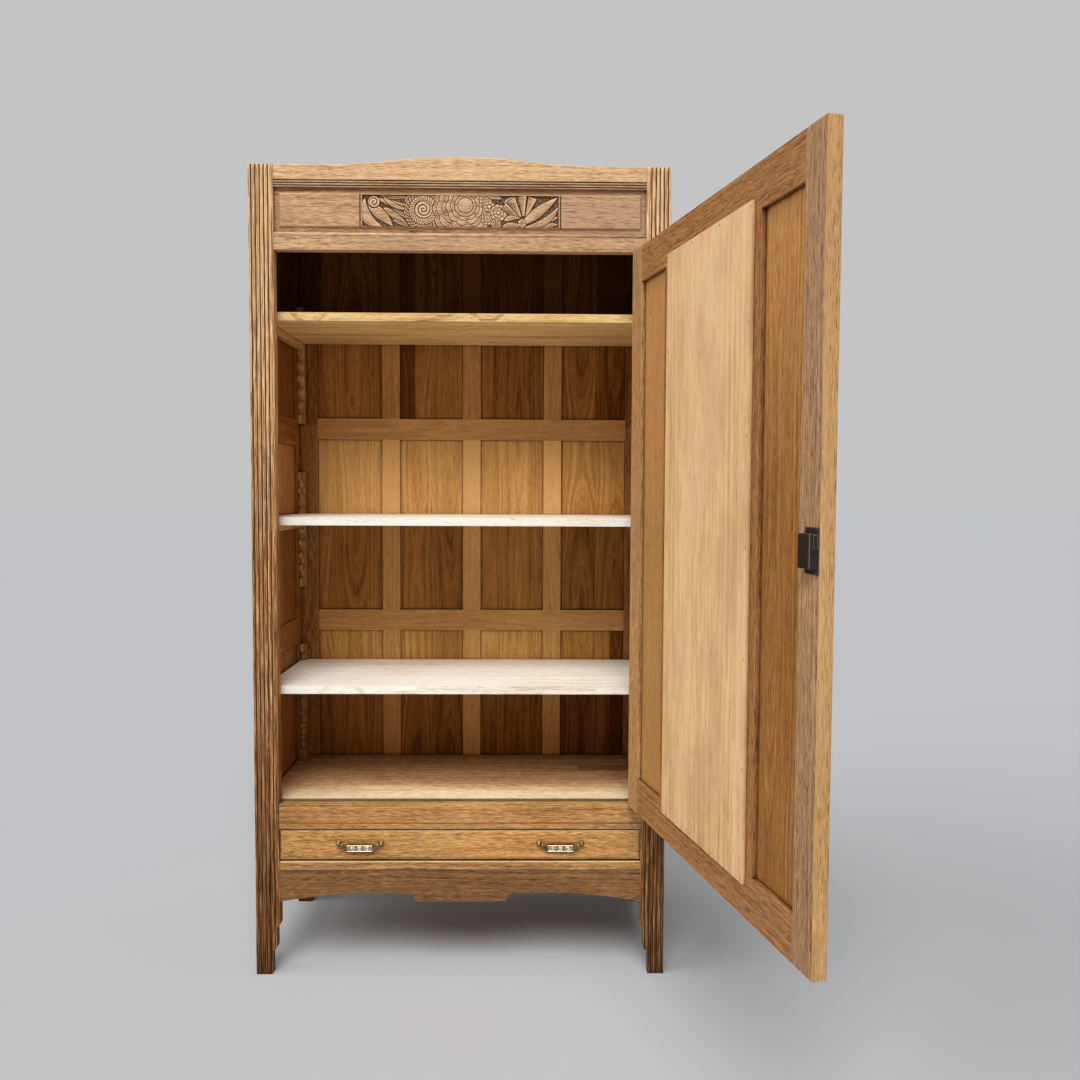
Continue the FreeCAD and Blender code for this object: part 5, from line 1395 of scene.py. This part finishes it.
    def dress_back(self, nodes: Nodes) -> None:
        """Finishes the back's muntins, rails and panels, with painted shade under the roof and under the
        shelves and painted light low in the compartments.
        """
        muntins = like(OAK, "back_muntins", pale=(246, 192, 124), middle=(212, 156, 90), dark=(128, 78, 26),
                       fleck=0.3, fibre=0.8, pith=(0.03, 0.25, 0.0), silver=0.05,
                       # Painted shade under the roof and painted light low in the middle compartment.
                       patches=(self.shade(1.37, 1.97, -0.12), self.shade(1.61, 1.97, -0.55),
                                self.shade(1.10, 1.36, 0.62), self.shade(0.40, 0.69, 0.05)),
                       boards=split(across=(self.column_pitch, -0.114), tone=0.2))
        dress(nodes, muntins, "back_muntins")
        rails = like(muntins, "back_rails", grain=Grain.ACROSS, middle=(204, 150, 90), knots=0.12,
                     pith=(0.0, 0.26, 0.03), patches=(),
                     boards=split(upright=(self.row_pitch, 0.0), tone=0.2))
        dress(nodes, rails, "back_rails")
        panels = like(OAK, "back_panels", pale=(255, 202, 128), middle=(190, 132, 62), dark=(98, 52, 8),
                      ring=0.008, figure=0.75, fibre=0.8, fleck=0.35, streak=0.4, pith=(0.01, 0.245, 0.0),
                      drift=0.55, grime=0.7, silver=0.05, knots=0.22, knot_size=0.055, ray=0.05,
                      boards=split(across=(self.column_pitch, -0.456),
                                   upright=(self.row_pitch, self.row_start), tone=0.14),
                      planks=split(across=(0.093, -0.206), tone=0.12),
                      # Painted light and shade, compartment by compartment.
                      patches=tuple(self.shade(*row) for row in self.PANEL_SHADES))
        dress(nodes, panels, "back_panels")

    def dress_shelves(self, nodes: Nodes) -> None:
        """Finishes the new softwood of the shelves, racks and cleats."""
        pine = Wood("pine_shelf", pale=(252, 220, 160), middle=(236, 196, 130), dark=(184, 130, 70),
                    grain=Grain.ACROSS, ring=0.010, figure=1.6, streak=1.6, drift=0.7, fibre=1.3, ray=0.0,
                    silver=0.0, soot=(120, 84, 48), grime=0.4, wear=0.3, worn=(255, 238, 204), rough=0.62,
                    bump=0.2, knots=0.5, knot_size=0.08, pith=(0.0, 0.03, -0.04), thickness=Grain.UPRIGHT,
                    bend=0.004, boards=split(upright=(0.5, 0.45)))
        dress(nodes, pine, "shelf_top")
        spruce = like(pine, "spruce_shelf", pale=(255, 252, 244), middle=(255, 249, 236),
                      dark=(206, 180, 144), figure=0.9, streak=0.7, fibre=0.8, fleck=0.5,
                      pith=(0.0, 0.10, -0.04), knots=0.1)
        dress(nodes, spruce, "shelf_middle", "shelf_bottom")
        rack = like(pine, "rack_pine", grain=Grain.UPRIGHT, pale=(236, 196, 138), middle=(206, 158, 100),
                    dark=(150, 102, 56))
        dress(nodes, rack, "left_racks", "right_racks")
        dress(nodes, like(rack, "cleat_pine", grain=Grain.BACKWARD), "shelf_cleats")


@dataclass
class Door:
    """The open door: framed panels, the board behind the mirror, the lock and the hinges."""

    def dress(self, nodes: Nodes) -> None:
        """Finishes every node of the door."""
        stile = like(OAK, "door_lock_stile", pale=(234, 192, 148), middle=(186, 142, 100), dark=(110, 74, 44),
                     silver=0.4, grey=(178, 142, 108), drift=0.2, pith=(-0.33, -0.19, 0.0), **OPEN_DOOR)
        edge = Stain((-0.46, -0.24, 0.3), (-0.4392, -0.19, 1.9), (230, 176, 106), 0.42)
        # Painted shade: the lock stile darker towards the bottom.
        dress(nodes, replace(stile, fades=(Fade(Grain.UPRIGHT, 1.0, 0.4, -0.12),), stains=(edge,)),
              "door_lock_stile")
        dress(nodes, like(stile, "door_hinge_stile", pale=(234, 186, 130), middle=(192, 142, 90),
                          dark=(112, 74, 40), pith=(0.33, -0.19, 0.0), silver=0.1), "door_hinge_stile")
        rail = like(stile, "door_rail", grain=Grain.ACROSS, pale=(216, 156, 100), middle=(176, 120, 70),
                    dark=(98, 58, 28), silver=0.15, pith=(0.0, -0.185, 1.665))
        dress(nodes, rail, "door_rails")
        muntin = like(rail, "door_muntin", grain=Grain.UPRIGHT, middle=(168, 110, 56),
                      pith=(0.24, -0.18, 0.0))
        dress(nodes, muntin, "door_muntins")
        hinge_side = Stain((0.2, -0.2125, 0.3), (0.5, -0.1, 1.8), (208, 154, 94), 0.6)
        # Door panels: painted light, paler towards the top.
        panel = like(muntin, "door_panels", pale=(226, 164, 100), middle=(164, 106, 52), dark=(92, 48, 12),
                     ring=0.006, fibre=1.2, silver=0.05, pith=(0.03, -0.165, 0.0), fleck=0.5,
                     boards=split(across=(0.62, 0.0)), fades=(Fade(Grain.UPRIGHT, 1.15, 1.60, 0.28),),
                     stains=(hinge_side,))
        dress(nodes, panel, "door_panels")
        # Door board: painted shade, darker towards the bottom.
        board = Wood("door_board", pale=(255, 226, 176), middle=(255, 208, 153), dark=(190, 136, 86),
                     ring=0.010, streak=0.9, drift=0.8, fibre=0.8, fleck=0.30, ray=0.0, bend=0.01, silver=0.6,
                     grey=(206, 164, 116), soot=(120, 80, 48), grime=0.6, wear=0.5, worn=(255, 232, 196),
                     rough=0.6, bump=0.2, pith=(0.02, -0.155, 0.0),
                     fades=(Fade(Grain.UPRIGHT, 1.0, 0.5, -0.18),), **OPEN_DOOR)
        dress(nodes, board, "door_back_board")
        dress(nodes, Silvering("mirror_silver"), "door_mirror")

    def dress_metal(self, nodes: Nodes) -> None:
        """Finishes the lock, the hinges, the screws and the nails."""
        # Lock iron: its pale abraded rims are partly a painted highlight.
        iron = Metal("lock_iron", bright=(48, 41, 34), tarnish=(26, 21, 17), shade_and_dirt=(14, 11, 9),
                     clouds=1.0, rough=0.30, edge=0.9, metallic=0.35, rubbed_and_lit=(176, 168, 156), rim=0.0010)
        dress(nodes, iron, "lock_case", "lock_plate", "lock_bolt", "strike_plate")
        brass = Metal("hinge_brass", bright=(196, 164, 104), tarnish=(128, 98, 56), shade_and_dirt=(58, 42, 24))
        dress(nodes, brass, "hinge_post_halves", "hinge_door_halves")
        steel = Metal("screw_steel", bright=(120, 110, 98), tarnish=(70, 58, 48), shade_and_dirt=(34, 26, 20))
        dress(nodes, steel, "hinge_pins", "lock_screws")
        rust = Metal("nail_rust", bright=(196, 158, 112), tarnish=(150, 106, 66), shade_and_dirt=(90, 58, 34),
                     rough=0.6, edge=0.2, metallic=0.1)
        dress(nodes, rust, "board_nails")


@dataclass
class Drawer:
    """The drawer, its box and the two drop handles, in mm."""

    centre: float = 244.6
    reach: float = 47.4
    grip: float = 31.0
    low: float = 310.0
    high: float = 326.0
    rise: float = 13.9
    arm: float = 6.2
    face: float = -234.1
    axis_height: float = 327.0
    knob_place: float = 52.4
    rail_face: float = -223.5
    knob_front: float = -236.5
    grip_stations: int = 150
    arm_stations: int = 26
    rows: int = 46
    bead_height: float = 1.8
    bead_half: float = 1.2
    arm_wear: float = 0.42
    bail_sunk: float = 0.3
    stud_half: float = 2.0
    stud_radius: float = 3.3
    stud_inset: float = 4.2
    stud_drop: float = 0.9
    stud_base: float = 1.6

    def outline(self, x: np.ndarray) -> tuple[np.ndarray, np.ndarray]:
        """Lower and upper edge of the bail at each station: level on the grip, then straight up the arms."""
        climb = np.clip(np.abs(x) - self.grip, 0, None) * self.rise / (self.reach - self.grip)
        low = self.low + climb
        return low, np.where(np.abs(x) > self.grip + 1e-6, low + self.arm, self.high)

    def emboss(self, field: Relief) -> None:
        """Scrolls and leaves on each half of the grip, with a flower between them."""
        for hand in HANDS:
            field.leaf([(hand * 8, -2), (hand * 14, 5.5), (hand * 21, 3)], 2.4, 1.5, 0.5)
            field.leaf([(hand * 9, 2), (hand * 15, -6), (hand * 22, -3)], 2.2, 1.5, 0.5)
            field.spiral((hand * 19.5, 0.4), 4.6, 1.6, 1.7, 0.5, hand)
            field.leaf([(hand * 22, -4), (hand * 26, -5), (hand * 29, 4)], 1.8, 1.5, 0.4)
            field.leaf([(hand * 22, 4), (hand * 26, 6), (hand * 29, -3)], 1.6, 1.4, 0.4)
        field.scallop((0, 0), 7.2, 10, 1.6, 0.6)
        field.scallop((0, 0), 4.4, 8, 1.8, 0.5)
        field.dome((0, 0), 1.7, 2.0, 0.4)

    def bail_face(self, side: Side) -> bpy.types.Object:
        """Embossed front of one bail: scrolls on the grip, ridges on the arms, a bead along its edges.

        The bead's height follows a half circle of the distance from the nearest edge.

        Args:
            side: the bail's side of the cabinet.

        Returns:
            The embossing as a closed plate on the bail's front.
        """
        arm = np.linspace(self.grip + 0.02, self.reach, self.arm_stations)
        grip = np.linspace(-self.grip, self.grip, self.grip_stations)
        stations = np.concatenate([-arm[::-1], grip, arm])
        low, high = self.outline(stations)
        u = np.broadcast_to(stations, (self.rows, len(stations)))
        v = low + (high - low) * np.linspace(0, 1, self.rows)[:, None]
        on_arm = np.abs(u) > self.grip
        side_gap = np.where(on_arm | (v <= low + self.arm), np.inf, self.grip - np.abs(u))
        border = np.minimum(np.minimum(v - low, high - v), side_gap)
        field = Relief(u, v - (self.low + self.high) / 2, 0.10 + 0.05 * np.sin(u * 5) * np.sin(v * 6))
        self.emboss(field)
        ridges = 0.3 + 1.3 * np.abs(np.sin(np.pi * (v - low) / self.arm * 1.5)) ** 0.8
        height = soften(np.where(on_arm, ridges, field.height), 1)
        from_bead = (border - self.bead_half) / self.bead_half
        height = np.maximum(height, self.bead_height * np.sqrt(np.clip(1 - from_bead ** 2, 0, 1)))
        height[[0, -1], :] = 0.0
        # Painted shade in the hollows and painted highlights on the ridges, with abrasion; dimmer on the
        # arms.
        wear = np.clip(0.5 + 0.55 * (height - soften(height, 8)) + 0.25 * (height - 1.0), 0, 1)
        wear = np.where(on_arm, wear * self.arm_wear, wear)
        x = (u + side.value * self.centre) * MM
        return shell(side.named("_bail_face"), x, v * MM, (self.face - height) * MM,
                     (self.face + self.bail_sunk) * MM, wear)

    def knobs(self) -> bpy.types.Object:
        """Four turned posts: a moulded rose, a waisted neck and a round head with a bead on its end.

        Returns:
            The four posts as one piece in place of the plain ones.
        """
        rose = [(0.0, 0.0), (0.0, 6.4), (0.7, 6.4), (1.2, 5.6), (1.5, 4.4)]
        neck = [(2.2, 3.2), (3.4, 2.5), (4.4, 2.7), (5.0, 3.5)]
        head = [(5.4, 4.1), (6.2, 4.55), (7.6, 4.6), (9.0, 4.4), (10.2, 3.7), (11.0, 2.6)]
        bead = [(11.3, 1.9), (11.8, 1.9), (12.4, 1.5), (12.8, 0.8), (self.rail_face - self.knob_front, 0.0)]
        places = [(side.value * self.centre + hand * self.knob_place, self.axis_height)
                  for side in Side for hand in HANDS]
        return turned("turned_knobs", np.array(rose + neck + head + bead), places, self.rail_face)

    def studs(self, side: Side) -> bpy.types.Object:
        """Small round pivots at the two ends of one bail.

        Args:
            side: the bail's side of the cabinet.

        Returns:
            The pair of pivots as one piece.
        """
        around = np.linspace(0, np.pi, 13)
        profile = np.stack([self.stud_half * (1 - np.cos(around)), self.stud_radius * np.sin(around)], -1)
        places = [(side.value * self.centre + hand * (self.reach - self.stud_inset),
                   self.axis_height - self.stud_drop) for hand in HANDS]
        return turned(side.named("_bail_studs"), profile, places, self.face + self.stud_base)

    def dress(self, nodes: Nodes) -> None:
        """Finishes the drawer, and puts the embossing on the bails and turned posts behind them."""
        # Painted highlight along the drawer front's top bevel, partly abrasion; the long occlusion reach
        # paints shade round the handles.
        rubbed_and_lit = Stain((-0.441, -0.226, 0.3562), (0.441, -0.20, 0.3590), (255, 222, 168), 0.7)
        front = like(OAK, "oak_drawer", grain=Grain.ACROSS, pale=(252, 198, 126), middle=(196, 142, 80),
                     dark=(104, 62, 24), pith=(0.1, -0.18, 0.30), wear=1.0, edge=0.0022, worn=(255, 216, 160),
                     drift=0.6, grime_reach=0.018, stains=(rubbed_and_lit,))
        dress(nodes, front, "drawer_front")
        box = like(OAK, "drawer_box", grain=Grain.BACKWARD, pale=(226, 180, 128), middle=(184, 138, 90),
                   dark=(120, 82, 48), wear=0.3)
        dress(nodes, box, "drawer_sides", "drawer_runners", "drawer_kickers")
        dress(nodes, like(box, "drawer_boards", grain=Grain.ACROSS), "drawer_back", "drawer_bottom")
        # Handle brass: painted shade with soiling in recesses, painted highlights on abraded edges.
        brass = Metal("handle_brass", bright=(186, 156, 98), tarnish=(84, 62, 30), shade_and_dirt=(20, 15, 8),
                      rough=0.30, reach=0.005, edge=0.8, rubbed_and_lit=(255, 240, 200))
        dress(nodes, brass, "handle_knobs", "left_handle_bail", "right_handle_bail")
        knobs = self.knobs()
        attach(knobs, like(brass, "knob_brass", clouds=0.9), "drawer")
        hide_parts("handle_knobs")
        # Embossed brass: painted highlights on its pale ridges, painted shade with soiling in its hollows.
        embossed = like(brass, "embossed_brass", embossed=True, bright=(255, 242, 206), tarnish=(120, 96, 56))
        for side in Side:
            attach(self.bail_face(side), embossed, side.named("_bail"))
            attach(self.studs(side), brass, side.named("_bail"))


@dataclass
class Studio:
    """Floor, soft light and camera."""

    grey: Rgb = (196, 196, 197)
    ground: Rgb = (194, 196, 199)
    sky: float = 0.16
    eye: Triple = (0.1785, -2.5701, 1.1900)
    yaw: float = 0.823
    pitch: float = -3.001
    roll: float = 0.267
    lens: float = 32.497
    sensor: float = 36.0
    shift: Place = (-0.0079, 0.0015)
    reach: float = 60.0
    lamp_distance: float = 4.0

    def floor(self) -> None:
        """Lays a wide plain floor that keeps the cabinet's shadow."""
        corners = np.array([(-1, -1, 0), (1, -1, 0), (1, 1, 0), (-1, 1, 0)]) * self.reach
        floor = made("studio_floor", corners, [[0, 1, 2, 3]], np.zeros(1, bool))
        sheet = Sheet("studio_floor")
        at = sheet.add("TexCoord").outputs["Object"]
        colour = sheet.blend("MIX", sheet.noise(at, 3.0, 2.0), linear(self.ground),
                             linear(tuple(c - 1 for c in self.ground)))
        relief = sheet.bump(sheet.noise(at, 40.0), 0.02, 0.001)
        floor.data.materials.append(sheet.close(colour, 1.0, relief, Specular_IOR_Level=0.0))

    def sky_light(self) -> None:
        """Even light from all round; the background itself is seen as the floor's grey."""
        world = bpy.data.worlds.new("studio_sky")
        bpy.context.scene.world = world
        world.use_nodes = True
        tree = world.node_tree
        tree.nodes.clear()
        path = tree.nodes.new("ShaderNodeLightPath")
        seen = path.outputs["Is Camera Ray"]
        for name in ("Is Glossy Ray", "Is Transmission Ray"):
            most = tree.nodes.new("ShaderNodeMath")
            most.operation = "MAXIMUM"
            tree.links.new(seen, most.inputs[0])
            tree.links.new(path.outputs[name], most.inputs[1])
            seen = most.outputs[0]
        light = tree.nodes.new("ShaderNodeBackground")
        light.inputs["Color"].default_value = (1.0, 1.0, 1.0, 1.0)
        light.inputs["Strength"].default_value = self.sky
        backdrop = tree.nodes.new("ShaderNodeBackground")
        backdrop.inputs["Color"].default_value = linear(self.grey)
        mix = tree.nodes.new("ShaderNodeMixShader")
        output = tree.nodes.new("ShaderNodeOutputWorld")
        tree.links.new(seen, mix.inputs[0])
        tree.links.new(light.outputs[0], mix.inputs[1])
        tree.links.new(backdrop.outputs[0], mix.inputs[2])
        tree.links.new(mix.outputs[0], output.inputs[0])

    def lamp(self, name: str, azimuth: float, elevation: float, strength: float, angle: float) -> None:
        """Hangs one wide, distant lamp.

        Args:
            name: the lamp's name.
            azimuth: degrees to the right of straight in front of the cabinet.
            elevation: degrees above the floor.
            strength: light on a surface that faces it.
            angle: how wide it looks from the cabinet, in degrees.
        """
        light = bpy.data.lights.new(name, "SUN")
        light.energy = strength
        light.angle = math.radians(angle)
        lamp = bpy.data.objects.new(name, light)
        a, e = math.radians(azimuth), math.radians(elevation)
        towards = Vector((math.sin(a) * math.cos(e), -math.cos(a) * math.cos(e), math.sin(e)))
        lamp.rotation_euler = towards.to_track_quat("Z", "Y").to_euler()
        lamp.location = towards * self.lamp_distance
        bpy.context.scene.collection.objects.link(lamp)

    def camera(self) -> None:
        """Sets the camera at the viewing place, turned by its yaw, pitch and roll in degrees."""
        yaw, pitch, roll = (math.radians(angle) for angle in (self.yaw, self.pitch, self.roll))
        ahead = Vector((math.sin(yaw) * math.cos(pitch), math.cos(yaw) * math.cos(pitch), math.sin(pitch)))
        right = Vector((math.cos(yaw), -math.sin(yaw), 0.0))
        up = right.cross(ahead)
        level = right * math.cos(roll) + up * math.sin(roll)
        top = up * math.cos(roll) - right * math.sin(roll)
        data = bpy.data.cameras.new("viewpoint")
        data.sensor_width = self.sensor
        data.lens = self.lens
        data.shift_x, data.shift_y = self.shift
        camera = bpy.data.objects.new("viewpoint", data)
        turn = Matrix((level, top, -ahead)).transposed().to_4x4()
        camera.matrix_world = Matrix.Translation(self.eye) @ turn
        bpy.context.scene.collection.objects.link(camera)
        bpy.context.scene.camera = camera

    def build(self) -> None:
        """Builds the studio and sets its view."""
        self.camera()
        self.floor()
        self.sky_light()
        self.lamp("key", azimuth=-5.0, elevation=50.0, strength=2.62, angle=34.0)
        self.lamp("left", azimuth=-66.0, elevation=35.0, strength=1.05, angle=45.0)
        bpy.context.scene.view_settings.view_transform = "Standard"


def main() -> None:
    """Builds the studio, then the cabinet from its crown to its handles."""
    logging.basicConfig(level=logging.INFO, format="%(name)s: %(message)s")
    nodes = frame["nodes"]
    Studio().build()
    Frieze().dress(nodes)
    carcass = Carcass()
    carcass.dress_outside(nodes)
    carcass.dress_inside(nodes)
    carcass.dress_shelves(nodes)
    door = Door()
    door.dress(nodes)
    door.dress_metal(nodes)
    Drawer().dress(nodes)


if __name__ == "__main__":
    main()
